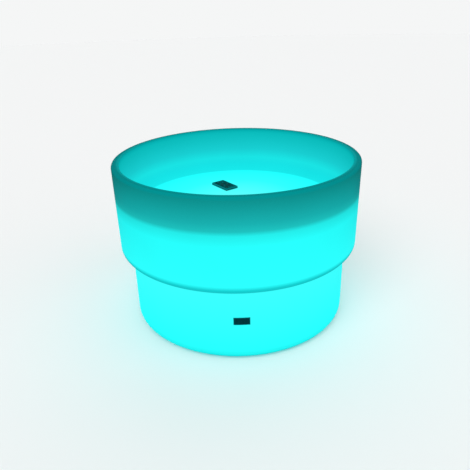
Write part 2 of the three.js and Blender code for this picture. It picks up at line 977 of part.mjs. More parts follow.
function labelLength() {
  return remoteLength - 2 * labelInset;
}

function labelWidth() {
  return remoteWidth - 2 * labelInset;
}

function remoteFrontCase() {
  const upper = remoteBody().intersect(middleBlock(2 * remoteLength, 2 * remoteWidth,
    remoteSeam + slipGap, remoteThickness + overrun));
  const shelf = remoteThickness - labelDrop;
  return without(upper, [
    remoteRoom(0, pcbTop + slipGap),
    traySlot().intersect(middleBlock(2 * remoteLength, remoteWidth, 0, pcbTop - pcbThickness)),
    emitterHole(),
    middleBlock(labelLength(), labelWidth(), shelf, remoteThickness + overrun),
    middleBlock(labelLength() - 2 * labelLedge, labelWidth() - 2 * labelLedge, 0, remoteThickness),
  ]);
}

function remoteKeypad() {
  const low = remoteThickness - labelDrop + slipGap;
  const top = low + labelThickness;
  const sheet = middleBlock(labelLength() - 2 * fitGap, labelWidth() - 2 * fitGap, low, top);
  const key = middleBlock(keyLength, keyWidth, low + labelThickness / 2, top + keyHeight);
  const columnPitch = (labelLength() - labelLedge) / keyColumns;
  const rowPitch = (labelWidth() - labelLedge) / keyRows;
  const keys = [];
  for (let column = 0; column < keyColumns; column += 1) {
    for (let row = 0; row < keyRows; row += 1) {
      const x = (column - (keyColumns - 1) / 2) * columnPitch;
      const y = (row - (keyRows - 1) / 2) * rowPitch;
      keys.push(moved(key, x, y));
    }
  }
  return joined([sheet, ...keys]);
}

function remoteBoard() {
  return middleBlock(remoteLength - 2 * remoteWall - 2 * fitGap,
    remoteWidth - 2 * remoteWall - 2 * fitGap, pcbTop - pcbThickness, pcbTop);
}

function remoteEmitter() {
  const outerEnd = remoteLength / 2;
  const body = turned([
    [0, outerEnd - emitterLength],
    [emitterRadius, outerEnd - emitterLength],
    [emitterRadius, outerEnd - emitterRadius],
    [emitterRadius / 2, outerEnd],
    [0, outerEnd],
  ], smallFacets);
  return moved(body.rotate([0, -90, 0]), 0, 0, emitterAxis());
}

function batteryTray() {
  const half = trayHalfWidth();
  const low = trayUnder();
  const inner = trayCentre() - coinRadius - fitGap - trayWall / 2;
  const body = block(inner, remoteLength / 2, -half, half, low, low + trayHeight);
  const seat = cylinder(coinRadius + fitGap, low + trayFloor, low + trayHeight + overrun, barrelFacets);
  return without(body, [moved(seat, trayCentre(), 0)]);
}

function coinCell() {
  const low = trayUnder() + trayFloor + slipGap;
  const rim = coinRadius - coinStep;
  const cell = turned([
    [0, low],
    [rim, low],
    [rim, low + coinHeight / 4],
    [coinRadius, low + coinHeight / 4],
    [coinRadius, low + coinHeight],
    [0, low + coinHeight],
  ], barrelFacets);
  return moved(cell, trayCentre(), 0);
}

// Assembly
const table = new THREE.Group();
const remote = new THREE.Group();
remote.position.set(remoteX, remoteY, recessFloor + fitGap);
remote.rotation.z = remoteTurn;
table.add(remote);

function place(name, solid, material, holder = table) {
  const mesh = new THREE.Mesh(geometryOf(solid), material);
  mesh.name = name;
  holder.add(mesh);
  return mesh;
}

// Numbered copies of one solid, evenly round the Z axis
function placeRing(name, solid, material, radius, count) {
  for (let i = 0; i < count; i += 1) {
    const angle = 2 * Math.PI * i / count;
    const mesh = place(`${name}_${i + 1}`, solid, material());
    mesh.position.set(radius * Math.cos(angle), radius * Math.sin(angle), 0);
    mesh.rotation.z = angle;
  }
}

place('shell', shell(), glowingPlastic());
place('name_plate', namePlate(), plateBlack());
placeRing('insert', insert(), brass, screwCircle, screwCount);

place('light_unit_base', lightUnitBase(), whiteMoulding());
place('flange_seal', flangeSeal(), blackRubber());
placeRing('flange_screw', flangeScrew(), screwSteel, screwCircle, screwCount);

place('battery_cradle', batteryCradle(), whiteMoulding());
for (let i = 0; i < cellCount; i += 1) {
  const cell = place(`battery_cell_${i + 1}`, batteryCell(), cellWrap());
  cell.position.set(cellX(i), 0, cellAxis);
  cell.rotation.z = i % 2 ? Math.PI : 0;
}
place('cell_retainer', cellRetainer(), whiteMoulding());
place('control_board', controlBoard(), boardGreen());

place('led_board', ledBoard(), boardWhite());
placeRing('board_screw', boardScrew(), screwSteel, postCircle, postCount);
placeRing('led', led(), ledResin, ledRingRadius, ledCount);
place('ir_receiver', infraredReceiver(), darkResin());
place('diffuser_dome', diffuserDome(), opalPlastic());

place('dc_socket', chargingSocket(), darkResin()).position.y = -socketOffset;
place('socket_nut', socketNut(), screwSteel()).position.y = -socketOffset;
place('socket_cap', socketCap(), blackRubber()).position.y = -socketOffset;
place('cap_anchor', capAnchor(), blackRubber()).position.set(strapReach + anchorReach, -socketOffset, 0);
place('power_button', powerButton(), blackRubber()).position.y = buttonOffset;
place('button_switch', buttonSwitch(), darkResin()).position.y = buttonOffset;
place('status_led', statusLed(), ledResin()).position.set(statusOffset, buttonOffset, 0);

place('socket_lead', socketLead(), blackRubber());
place('switch_lead', switchLead(), blackRubber());
place('battery_lead', batteryLead(), blackRubber());
place('led_lead', ledLead(), blackRubber());

place('remote_back_case', remoteBackCase(), darkCase(), remote);
place('remote_front_case', remoteFrontCase(), darkCase(), remote);
place('remote_keypad', remoteKeypad(), membranePrint(), remote);
place('remote_board', remoteBoard(), boardGreen(), remote);
place('remote_ir_led', remoteEmitter(), darkResin(), remote);
place('remote_battery_tray', batteryTray(), darkCase(), remote);
place('coin_cell', coinCell(), screwSteel(), remote);

export default table;
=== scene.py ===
import json
import math
import bpy
import bmesh
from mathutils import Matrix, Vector


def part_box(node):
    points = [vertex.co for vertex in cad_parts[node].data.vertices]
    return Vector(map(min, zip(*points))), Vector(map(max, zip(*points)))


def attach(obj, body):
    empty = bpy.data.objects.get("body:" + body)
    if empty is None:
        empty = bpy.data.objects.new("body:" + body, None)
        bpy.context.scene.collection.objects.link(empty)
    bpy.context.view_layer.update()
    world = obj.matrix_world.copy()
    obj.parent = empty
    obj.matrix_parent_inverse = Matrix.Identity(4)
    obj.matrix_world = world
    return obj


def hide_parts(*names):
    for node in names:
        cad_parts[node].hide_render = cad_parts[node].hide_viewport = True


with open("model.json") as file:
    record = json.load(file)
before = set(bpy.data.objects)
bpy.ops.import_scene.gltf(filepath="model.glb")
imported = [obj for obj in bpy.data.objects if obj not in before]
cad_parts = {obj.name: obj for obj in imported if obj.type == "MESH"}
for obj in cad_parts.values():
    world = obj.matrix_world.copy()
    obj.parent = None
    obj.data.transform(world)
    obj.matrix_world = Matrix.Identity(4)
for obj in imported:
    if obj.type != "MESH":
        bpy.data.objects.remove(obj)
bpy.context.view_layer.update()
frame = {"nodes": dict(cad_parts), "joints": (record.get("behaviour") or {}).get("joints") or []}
joints = {joint["name"]: joint for joint in frame["joints"]}
print("frame loaded,", len(frame["nodes"]), "nodes")

tolerance = 0.00002      # heights and radii nearer than this are the same
weld = 0.000001          # corners nearer than this become one
smoothAngle = math.radians(32)
quarter = math.pi / 2
squareOn = 0.9      # a face looks along an axis when its normal reaches this far along it


# Small tools for placing things

def addShape(add, name="tool", location=(0, 0, 0), **sizes):
    bpy.ops.object.select_all(action="DESELECT")
    add(location=location, **sizes)
    bpy.context.object.name = name
    return bpy.context.object


def placed(node):
    low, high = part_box(node)
    return low, high, (low + high) / 2


# The nodes stem_1, stem_2 ..., each with its middle and its direction from the table's axis
def around(stem, count):
    for index in range(count):
        node = f"{stem}_{index + 1}"
        middle = placed(node)[2]
        yield node, middle, math.atan2(middle.y, middle.x)


# Camera: the photograph's place and angle

photoView = {
    "imageWidth": 470.0, "focal": 520.0,                   # pixels of that image
    "sensor": 36.0, "reach": 100.0,
    "place": (-0.02127, -1.52347, 0.92599),
    "down": 0.4239, "turn": 0.00766, "roll": -0.0279,      # radians
}


def addCamera():
    v = photoView
    camera = addShape(bpy.ops.object.camera_add, "photoCamera", v["place"])
    camera.data.lens = v["focal"] / v["imageWidth"] * v["sensor"]
    camera.data.sensor_width = v["sensor"]
    camera.data.clip_end = v["reach"]
    ahead = Vector((math.sin(v["turn"]) * math.cos(v["down"]), math.cos(v["turn"]) * math.cos(v["down"]),
                    -math.sin(v["down"])))
    camera.rotation_euler = ahead.to_track_quat("-Z", "Y").to_euler()
    camera.rotation_euler.rotate_axis("Z", v["roll"])
    bpy.context.scene.camera = camera


# Material tools

def feed(tree, node, inputs):
    for label, value in inputs.items():
        if isinstance(value, bpy.types.NodeSocket):
            tree.links.new(value, node.inputs[label])
        else:
            node.inputs[label].default_value = value
    return node


def addNode(tree, kind, inputs, **settings):
    node = tree.nodes.new("ShaderNode" + kind)
    for name, value in settings.items():
        setattr(node, name, value)
    return feed(tree, node, inputs)


def maths(tree, operation, *values):
    return addNode(tree, "Math", dict(enumerate(values)), operation=operation).outputs[0]


def spread(tree, value, fromLow, fromHigh, low=0.0, high=1.0):
    return addNode(tree, "MapRange", {"Value": value, "From Min": fromLow, "From Max": fromHigh,
                                      "To Min": low, "To Max": high}).outputs["Result"]


def mixColours(tree, factor, first, second):
    mix = addNode(tree, "Mix", {"Factor": factor, "A": first, "B": second}, data_type="RGBA")
    return mix.outputs["Result"]


# A colour that drifts between two shares of itself
def driftColour(tree, cloud, colour, darker, paler):
    ends = [(*(min(1, channel * share) for channel in colour), 1) for share in (darker, paler)]
    return mixColours(tree, cloud, *ends)


def relief(tree, height, strength, distance):
    bump = addNode(tree, "Bump", {"Height": height, "Strength": strength, "Distance": distance})
    return bump.outputs["Normal"]


def rampOf(tree, stops, value):
    low, high = stops[0][0], stops[-1][0]
    ramp = addNode(tree, "ValToRGB", {"Fac": spread(tree, value, low, high)})
    elements = ramp.color_ramp.elements
    elements.remove(elements[-1])
    for index, (place, colour) in enumerate(stops):
        share = (place - low) / (high - low)
        element = elements.new(share) if index else elements[0]
        element.position = share
        element.color = (*colour, 1)
    return ramp.outputs["Color"]


def newMaterial(name):
    material = bpy.data.materials.new(name)
    material.use_nodes = True
    return material, material.node_tree, material.node_tree.nodes["Principled BSDF"]


def newGroup(name, inputs, outputs):
    group = bpy.data.node_groups.new(name, "ShaderNodeTree")
    for label, kind, value in inputs:
        socket = group.interface.new_socket(name=label, in_out="INPUT", socket_type="NodeSocket" + kind)
        if value is not None:
            socket.default_value = value
    for label in outputs:
        kind = "Color" if label == "Colour" else "Float"
        group.interface.new_socket(name=label, in_out="OUTPUT", socket_type="NodeSocket" + kind)
    return group, group.nodes.new("NodeGroupInput").outputs, group.nodes.new("NodeGroupOutput")


def useGroup(tree, name, **inputs):
    return addNode(tree, "Group", inputs, node_tree=bpy.data.node_groups[name]).outputs


# Stage: pale floor, pale surroundings and soft lamps

stageSizes = {
    "floorRadius": 14.0, "floorSides": 96, "floorDrop": 0.0002, "floorColour": (0.86, 0.87, 0.87, 1),
    "skyColour": (1.0, 1.0, 1.0, 1), "skyLight": 0.6,
    "shownSky": (0.913, 0.922, 0.922, 1),      # what the camera and mirrors see past the floor
}

lampPlan = [
    # name, direction that it shines from, strength, softness in degrees
    ("keyLamp", (-0.9, -2.6, 2.9), 1.35, 45),
    ("fillLamp", (2.2, -1.8, 2.2), 0.35, 60),
    ("backLamp", (0.6, 2.6, 2.2), 0.35, 60),
]


def addStage():
    s = stageSizes
    floor = addShape(bpy.ops.mesh.primitive_circle_add, "studioFloor", (0, 0, -s["floorDrop"]),
                     vertices=s["floorSides"], radius=s["floorRadius"], fill_type="NGON")
    material, tree, shader = newMaterial("floorPaint")
    feed(tree, shader, {"Base Color": s["floorColour"], "Roughness": 0.9, "Specular IOR Level": 0.0})
    floor.data.materials.append(material)

    world = bpy.data.worlds.new("studioAir")
    world.use_nodes = True
    bpy.context.scene.world = world
    tree = world.node_tree
    tree.nodes.clear()
    rays = addNode(tree, "LightPath", {}).outputs
    seen = maths(tree, "MAXIMUM", rays["Is Camera Ray"], rays["Is Glossy Ray"])
    seen = maths(tree, "MAXIMUM", seen, rays["Is Transmission Ray"])
    light = addNode(tree, "Background", {"Color": s["skyColour"], "Strength": s["skyLight"]})
    shown = addNode(tree, "Background", {"Color": s["shownSky"], "Strength": 1.0})
    mix = addNode(tree, "MixShader", {0: seen, 1: light.outputs[0], 2: shown.outputs[0]})
    addNode(tree, "OutputWorld", {"Surface": mix.outputs[0]})

    for name, place, strength, softness in lampPlan:
        lamp = addShape(bpy.ops.object.light_add, name, place, type="SUN")
        lamp.data.energy = strength
        lamp.data.angle = math.radians(softness)
        lamp.rotation_euler = (-Vector(place)).to_track_quat("-Z", "Y").to_euler()


# Shared effects

def buildEffects():
    # fine moulded skin: height for a bump, and a mask that drifts over the surface
    group, taken, given = newGroup(
        "mouldedSkin", [("Vector", "Vector", None), ("Grain", "Float", 900.0), ("Drift", "Float", 9.0)],
        ["Height", "Cloud"])
    for scale, detail, roughness, result in (("Grain", 3.0, 0.6, "Height"), ("Drift", 4.0, 0.5, "Cloud")):
        noise = addNode(group, "TexNoise", {"Vector": taken["Vector"], "Scale": taken[scale],
                                            "Detail": detail, "Roughness": roughness})
        feed(group, given, {result: noise.outputs["Fac"]})

    # edges rubbed paler, from the surface's own pointiness
    group, taken, given = newGroup(
        "rubbedEdges", [("Vector", "Vector", None), ("Colour", "Color", (0.1, 0.1, 0.1, 1)),
                        ("Worn", "Color", (0.4, 0.4, 0.4, 1)), ("Amount", "Float", 0.3)], ["Colour"])
    pointed = addNode(group, "NewGeometry", {}).outputs["Pointiness"]
    patch = addNode(group, "TexNoise", {"Vector": taken["Vector"], "Scale": 160.0}).outputs["Fac"]
    rub = maths(group, "MULTIPLY", spread(group, pointed, 0.52, 0.62), patch)
    amount = maths(group, "MULTIPLY", rub, taken["Amount"])
    feed(group, given, {"Colour": mixColours(group, amount, taken["Colour"], taken["Worn"])})

    # height above the floor and distance from the table's axis
    group, taken, given = newGroup("drumPlace", [("Vector", "Vector", None)], ["Height", "Radius"])
    split = addNode(group, "SeparateXYZ", {"Vector": taken["Vector"]}).outputs
    squares = [maths(group, "POWER", split[axis], 2.0) for axis in "XY"]
    radius = maths(group, "SQRT", maths(group, "ADD", *squares))
    feed(group, given, {"Height": split["Z"], "Radius": radius})


# The glow in display colours at a few heights and radii in metres, and how much of the skin each place has.
# What the lamps and the glow's own bounces add, and what the skin takes, is allowed for.
# The glow is the leds' light painted on the shell. It holds a painted shadow band below the rim, where the
# recess floor shades the wall from the leds, painted shade on the roundings at the step and the foot, and a
# painted pool of light in the middle of the recess floor.

glowPlan = {
    # painted light: the plastic is white, and the teal here is the leds' cyan light painted into its colour
    "plastic": (0.001, 0.105, 0.104),
    "skinTint": (0.74, 0.87, 0.87),      # what a full skin lets through straight on, less at a slant
    "skinSlant": 1.12,                   # its thickness along the usual line of sight
    "outerStops": [
        (0.000, (24, 200, 199), 0.0), (0.008, (29, 212, 211), 0.0), (0.018, (34, 243, 241), 0.0),
        (0.034, (42, 256, 255), 0.0), (0.216, (62, 257, 257), 0.1), (0.236, (28, 203, 204), 0.4),
        (0.245, (26, 209, 210), 0.5), (0.256, (47, 257, 256), 0.15), (0.370, (43, 256, 254), 0.55),
        (0.400, (40, 237, 234), 0.8), (0.412, (33, 192, 189), 0.9), (0.432, (28, 175, 174), 1.0),
        (0.493, (18, 142, 139), 1.0), (0.498, (6, 142, 142), 1.0), (0.502, (5, 146, 146), 1.0),
    ],
    "outerLit": (0.004, 0.100, 0.097),
    "wallStops": [
        (0.366, (25, 227, 229), 0.0), (0.378, (27, 226, 229), 0.0), (0.400, (30, 229, 229), 0.0),
        (0.430, (28, 208, 211), 0.0), (0.488, (17, 190, 190), 0.0), (0.497, (12, 179, 180), 0.0),
        (0.501, (4, 158, 158), 0.0),
    ],
    "wallLit": (0.003, 0.118, 0.116),
    "floorStops": [
        (0.000, (98, 257, 257), 0.0), (0.110, (77, 259, 257), 0.0), (0.200, (51, 260, 261), 0.0),
        (0.306, (37, 261, 261), 0.0), (0.316, (30, 233, 235), 0.0), (0.340, (27, 228, 230), 0.0),
    ],
    "floorLit": (0.004, 0.110, 0.108),
    "rimInside": 0.3505, "rimOutside": 0.3575, "recessFloor": 0.358, "recessCorner": 0.386,
    "spare": 0.003,
}


def linear(level):
    share = level / 255
    return share / 12.92 if share <= 0.04045 else ((share + 0.055) / 1.055) ** 2.4


def glowStops(side):
    stops = []
    for place, colour, skin in glowPlan[side + "Stops"]:
        through = [1 - skin + skin * tint ** glowPlan["skinSlant"] for tint in glowPlan["skinTint"]]
        stops.append((place, [max(0, linear(level) / share - lamp)
                              for level, share, lamp in zip(colour, through, glowPlan[side + "Lit"])]))
    return stops


def glowPlastic():
    g = glowPlan
    material, tree, shader = newMaterial("glowPlastic")
    where = addNode(tree, "TexCoord", {}).outputs["Object"]
    place = useGroup(tree, "drumPlace", Vector=where)
    skin = useGroup(tree, "mouldedSkin", Vector=where, Grain=420.0, Drift=7.0)
    height, radius, cloud = place["Height"], place["Radius"], skin["Cloud"]
    # painted light: the leds' glow, with its painted shadow band and shaded roundings, read from height and
    # radius
    outer, wall, floor = (rampOf(tree, glowStops(side), value)
                          for side, value in (("outer", height), ("wall", height), ("floor", radius)))
    overFloor = spread(tree, height, g["recessCorner"], g["recessFloor"])      # 0 up the recess wall
    overRim = spread(tree, radius, g["rimOutside"], g["rimInside"])            # 0 outside the rim
    above = maths(tree, "GREATER_THAN", height, g["recessFloor"] - g["spare"])
    inRecess = maths(tree, "MULTIPLY", overRim, above)
    glow = mixColours(tree, inRecess, outer, mixColours(tree, overFloor, wall, floor))
    cloudy = spread(tree, cloud, 0, 1, 0.965, 1.03)      # the wall's thickness drifts a little
    scaled = addNode(tree, "VectorMath", {0: glow, "Scale": cloudy}, operation="SCALE").outputs["Vector"]
    skinned = rampOf(tree, [(stop[0], (stop[2],) * 3) for stop in g["outerStops"]], height)
    outside = maths(tree, "SUBTRACT", 1.0, inRecess)
    feed(tree, shader, {
        # the base colour's teal is painted cyan light
        "Base Color": driftColour(tree, cloud, g["plastic"], 0.94, 1.06),
        "Roughness": spread(tree, cloud, 0, 1, 0.5, 0.62), "Specular IOR Level": 0.002,
        "Emission Color": scaled, "Emission Strength": 1.0,
        "Coat Weight": maths(tree, "MULTIPLY", skinned, outside), "Coat Roughness": 0.6,
        "Coat IOR": 1.015, "Coat Tint": (*g["skinTint"], 1),
        "Normal": relief(tree, skin["Height"], 0.12, 0.0006),
    })
    return material


def finishMaterial(name, colour, worn, roughness, metallic=0.0, grain=900, bump=0.05, drift=9, wear=0.3,
                   shade=0.12, specular=0.5):
    material, tree, shader = newMaterial(name)
    where = addNode(tree, "TexCoord", {}).outputs["Object"]
    skin = useGroup(tree, "mouldedSkin", Vector=where, Grain=grain, Drift=drift)
    drifted = driftColour(tree, skin["Cloud"], colour, 1 - shade, 1 + shade)
    rubbed = useGroup(tree, "rubbedEdges", Vector=where, Colour=drifted, Worn=(*worn, 1), Amount=wear)
    feed(tree, shader, {
        "Base Color": rubbed["Colour"], "Metallic": metallic, "Specular IOR Level": specular,
        "Roughness": spread(tree, skin["Cloud"], 0, 1, roughness * 0.85, min(1, roughness * 1.15)),
        "Normal": relief(tree, skin["Height"], bump, 0.0004),
    })
    return material


finishPlan = {
    # name: slot, colour, worn edges, roughness, the rest
    # painted light: the teal in the plate's, the remote's and the keys' dark colours is the shell's cyan glow
    # painted in
    "plateFrame": ("plate_black", (0.0004, 0.125, 0.142), (0.01, 0.22, 0.24), 0.5,
                   {"grain": 1400, "bump": 0.06, "drift": 60, "wear": 0.5, "specular": 0.01}),
    "platePanel": ("plate_black", (0.0004, 0.033, 0.040), (0.005, 0.08, 0.09), 0.45,
                   {"grain": 2200, "bump": 0.08, "drift": 170, "shade": 0.5, "specular": 0.01}),
    "darkCase": ("dark_case", (0.0004, 0.175, 0.186), (0.01, 0.30, 0.32), 0.55,
                 {"grain": 2600, "bump": 0.12, "drift": 40, "wear": 0.6, "specular": 0.01}),
    # painted shade: the back case and the tray are darker than the front case, so that the remote's sides
    # look shaded
    "darkBackPaintedShade": ("dark_case", (0.0004, 0.092, 0.099), (0.01, 0.24, 0.26), 0.55,
                 {"grain": 2600, "bump": 0.12, "drift": 40, "wear": 0.6, "specular": 0.01}),
    "membranePrint": ("membrane_print", (0.0004, 0.054, 0.056), (0.01, 0.2, 0.22), 0.6,
                      {"grain": 1800, "bump": 0.08, "drift": 45, "shade": 0.25, "specular": 0.01}),
    "whiteMoulding": ("white_moulding", (0.74, 0.77, 0.77), (0.9, 0.92, 0.92), 0.48,
                      {"grain": 1500, "bump": 0.1, "drift": 14, "wear": 0.5, "shade": 0.05}),
    "opalPlastic": ("opal_plastic", (0.82, 0.87, 0.87), (0.95, 0.97, 0.97), 0.34,
                    {"grain": 1200, "bump": 0.04, "drift": 12, "shade": 0.04}),
    "blackRubber": ("black_rubber", (0.022, 0.024, 0.026), (0.12, 0.12, 0.12), 0.78,
                    {"grain": 2400, "bump": 0.2, "drift": 70, "wear": 0.2, "specular": 0.35}),
    "screwSteel": ("screw_steel", (0.55, 0.56, 0.58), (0.8, 0.8, 0.82), 0.28,
                   {"metallic": 1.0, "grain": 3000, "bump": 0.04, "drift": 140, "wear": 0.6}),
    "turnedBrass": ("brass", (0.62, 0.45, 0.17), (0.85, 0.7, 0.4), 0.3,
                    {"metallic": 1.0, "grain": 3000, "bump": 0.04, "drift": 140, "wear": 0.6}),
    "cellWrap": ("cell_wrap", (0.03, 0.13, 0.42), (0.3, 0.4, 0.6), 0.3,
                 {"grain": 1200, "bump": 0.03, "drift": 40}),
    "boardGreen": ("board_green", (0.012, 0.14, 0.06), (0.2, 0.35, 0.2), 0.35,
                   {"grain": 600, "bump": 0.1, "drift": 120, "shade": 0.3}),
    "boardWhite": ("board_white", (0.8, 0.82, 0.8), (0.9, 0.9, 0.9), 0.35,
                   {"grain": 600, "bump": 0.06, "drift": 90, "shade": 0.06}),
    "ledResin": ("led_resin", (0.86, 0.84, 0.6), (0.95, 0.95, 0.9), 0.2,
                 {"bump": 0.02, "drift": 300, "shade": 0.08}),
    "darkResin": ("dark_resin", (0.012, 0.012, 0.015), (0.1, 0.1, 0.1), 0.25,
                  {"grain": 2000, "drift": 120}),
}

# painted light: the keys' teal is the shell's cyan glow painted in
keyColours = {"keyPlain": (0.0004, 0.078, 0.082), "keyDeep": (0.0004, 0.028, 0.032),
              "keyRed": (0.014, 0.034, 0.038), "keyPale": (0.001, 0.120, 0.126)}
for name, colour in keyColours.items():
    finishPlan[name] = ("membrane_print", colour, (0.01, 0.24, 0.26), 0.5,
                        {"grain": 1800, "bump": 0.06, "drift": 95, "shade": 0.2, "specular": 0.01})

buildEffects()
finishes = {"glowPlastic": (glowPlastic(), "glow_plastic")}      # each material with the slot it fills
for name, (slot, colour, worn, roughness, rest) in finishPlan.items():
    finishes[name] = (finishMaterial(name, colour, worn, roughness, **rest), slot)
print("materials ready")


# Modelling tools, all on the selected object

def select(piece):
    bpy.ops.object.select_all(action="DESELECT")
    piece.select_set(True)
    bpy.context.view_layer.objects.active = piece


def editPiece(piece):
    select(piece)
    bpy.ops.object.mode_set(mode="EDIT")
    bpy.ops.mesh.select_all(action="SELECT")


def closePiece():
    bpy.ops.mesh.select_all(action="SELECT")
    bpy.ops.mesh.remove_doubles(threshold=weld)
    bpy.ops.mesh.normals_make_consistent(inside=False)
    bpy.ops.object.mode_set(mode="OBJECT")
    return bpy.context.object


def pick(kind, test):
    bpy.ops.mesh.select_mode(type=kind)
    mesh = bmesh.from_edit_mesh(bpy.context.object.data)
    for part in (*mesh.faces, *mesh.edges, *mesh.verts):
        part.select_set(False)
    for part in {"EDGE": mesh.edges, "FACE": mesh.faces}[kind]:
        if test(part):
            part.select_set(True)
    mesh.select_flush_mode()
    bmesh.update_edit_mesh(bpy.context.object.data)


def onRing(edge, radius, height, *rest):
    return all(abs(math.hypot(vert.co.x, vert.co.y) - radius) < tolerance
               and abs(vert.co.z - height) < tolerance for vert in edge.verts)


# Draws a circle along the corners [(radius, height, round)] and leaves it in edit mode
def drawRings(name, corners, sides, fill):
    editPiece(addShape(bpy.ops.mesh.primitive_circle_add, name, vertices=sides, radius=corners[0][0],
                       fill_type=fill))
    bpy.ops.transform.translate(value=(0, 0, corners[0][1]))
    for start, end in zip(corners, corners[1:]):
        bpy.ops.mesh.extrude_region_move(TRANSFORM_OT_translate={"value": (0, 0, end[1] - start[1])})
        grown = end[0] / start[0]
        bpy.ops.transform.resize(value=(grown, grown, 1), center_override=(0, 0, end[1]))


def roundRings(corners, segments, closed):
    last = len(corners) - 1
    for index, (radius, height, roundness) in enumerate(corners):
        if not roundness:
            continue
        before = Vector(corners[index - 1][:2] if index or closed else (0, height))
        after = Vector(corners[(index + 1) % len(corners)][:2] if index < last or closed else (0, height))
        corner = Vector((radius, height))
        half = (before - corner).angle(after - corner) / 2
        pick("EDGE", lambda edge: onRing(edge, radius, height))
        bpy.ops.mesh.bevel(offset=roundness / math.tan(half), segments=segments, affect="EDGES",
                           clamp_overlap=False)


# A solid turned from a disc
def turnBody(name, corners, sides, segments=6):
    drawRings(name, corners, sides, "NGON")
    roundRings(corners, segments, closed=False)
    return closePiece()


# A ring that closes on itself, drawn as edges and bridged
def turnRing(name, corners, sides, segments=4):
    bpy.context.tool_settings.mesh_select_mode = (False, True, False)
    drawRings(name, corners, sides, "NOTHING")
    pick("EDGE", lambda edge: onRing(edge, *corners[0]) or onRing(edge, *corners[-1]))
    bpy.ops.mesh.bridge_edge_loops()
    roundRings(corners, segments, closed=True)
    return closePiece()


# Thread, ribs or wound wire along a turned body, from a corner at (radius, low)
def ridges(radius, depth, pitch, low, high):
    corners = []
    height = low
    while height + pitch < high:
        corners += [(radius - depth, height + pitch / 2, 0), (radius, height + pitch, 0)]
        height += pitch
    return corners


# A slab with round upright corners, with its upper and lower edges softened
def slab(name, length, width, low, high, corner, topEdge=0.0, lowEdge=0.0, segments=6):
    editPiece(addShape(bpy.ops.mesh.primitive_cube_add, name, size=1))
    bpy.ops.transform.resize(value=(length, width, high - low))
    bpy.ops.transform.translate(value=(0, 0, (low + high) / 2))
    pick("EDGE", lambda edge: abs(edge.verts[0].co.z - edge.verts[1].co.z) > tolerance)
    bpy.ops.mesh.bevel(offset=corner, segments=segments, affect="EDGES")
    for height, edge in ((high, topEdge), (low, lowEdge)):
        if edge:
            pick("EDGE", lambda side: all(abs(vert.co.z - height) < tolerance for vert in side.verts))
            bpy.ops.mesh.bevel(offset=edge, segments=3, affect="EDGES")
    return closePiece()


def settle(piece):
    select(piece)
    bpy.ops.object.transform_apply(location=True, rotation=True, scale=True)
    return piece


# Moves and turns a piece that was made at the origin, and leaves its object there
def lay(piece, place, turn=(0, 0, 0)):
    piece.location = (*place, 0)[:3]
    piece.rotation_euler = turn
    return settle(piece)


def cylinderTool(radius, low, high, middle=(0, 0), sides=48):
    place = (middle[0], middle[1], (low + high) / 2)
    return settle(addShape(bpy.ops.mesh.primitive_cylinder_add, "tool", place, vertices=sides,
                           radius=radius, depth=high - low))


# A box between any two opposite corners
def boxTool(first, second):
    first, second = Vector(first), Vector(second)
    tool = addShape(bpy.ops.mesh.primitive_cube_add, "tool", (first + second) / 2, size=1)
    tool.scale = [abs(side) for side in second - first]
    return settle(tool)


def bake(piece):
    select(piece)
    for modifier in list(piece.modifiers):
        bpy.ops.object.modifier_apply(modifier=modifier.name)


def joinPieces(pieces):
    select(pieces[0])
    for piece in pieces[1:]:
        piece.select_set(True)
    if len(pieces) > 1:
        bpy.ops.object.join()
    return bpy.context.object


# Cuts the tools away, or joins them on; a piece with a finish keeps it, and takes over the tools' own
def carve(piece, *tools, operation="DIFFERENCE"):
    tool = joinPieces(tools)
    modifier = piece.modifiers.new("carve", "BOOLEAN")
    modifier.operation = operation
    modifier.solver = "EXACT"
    modifier.material_mode = "TRANSFER" if len(piece.data.materials) else "INDEX"
    modifier.object = tool
    bake(piece)
    bpy.data.objects.remove(tool)
    return piece


def unite(piece, *others):
    return carve(piece, *others, operation="UNION")


def copyPiece(piece, name):
    copied = piece.copy()
    copied.data = piece.data.copy()
    copied.name = name
    bpy.context.collection.objects.link(copied)
    return copied


def finished(piece, finish):
    piece.data.materials.clear()
    piece.data.materials.append(finishes[finish][0])
    return piece


# A second finish on some faces
def paint(piece, finish, test):
    piece.data.materials.append(finishes[finish][0])
    index = len(piece.data.materials) - 1
    for face in piece.data.polygons:
        if test(face):
            face.material_index = index


def finishPiece(piece, finish, node, body="table", angle=smoothAngle):
    select(piece)
    bpy.ops.object.shade_smooth_by_angle(angle=angle)
    piece.modifiers.new("flats", "WEIGHTED_NORMAL").keep_sharp = True
    bake(piece)
    if not len(piece.data.materials):
        finished(piece, finish)
    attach(piece, body)
    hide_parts(node)
    return piece


def placeCopies(model, name, stem, count, finish, seat=0.0, tip=0.0):
    for index, (node, middle, angle) in enumerate(around(stem, count)):
        piece = lay(copyPiece(model, f"{name}{index + 1}"), (middle.x, middle.y, seat), (tip, 0, angle))
        finishPiece(piece, finish, node)
    bpy.data.objects.remove(model)


# Shell

shellSizes = {
    "sides": 192, "segments": 10, "height": 0.502, "wall": 0.005,
    "rimRadius": 0.370, "rimWidth": 0.023, "rimOuterRound": 0.008, "rimInnerRound": 0.005,
    "recessDepth": 0.144, "recessTaper": 0.007, "recessRound": 0.030,
    "upperTaper": 0.003, "stepHeight": 0.230, "stepWidth": 0.033,
    "stepOuterRound": 0.020, "stepInnerRound": 0.006, "lowerTaper": 0.001, "baseRound": 0.030,
    "footWidth": 0.063, "footTaper": 0.004, "footRound": 0.003,
    "pocketGap": 0.0004,      # between the light unit's flange and the pocket that it sits in
    "flangeWidth": 0.024, "bossRadius": 0.0075, "bossCap": 0.005, "insertSpare": 0.0003, "holeSides": 24,
}


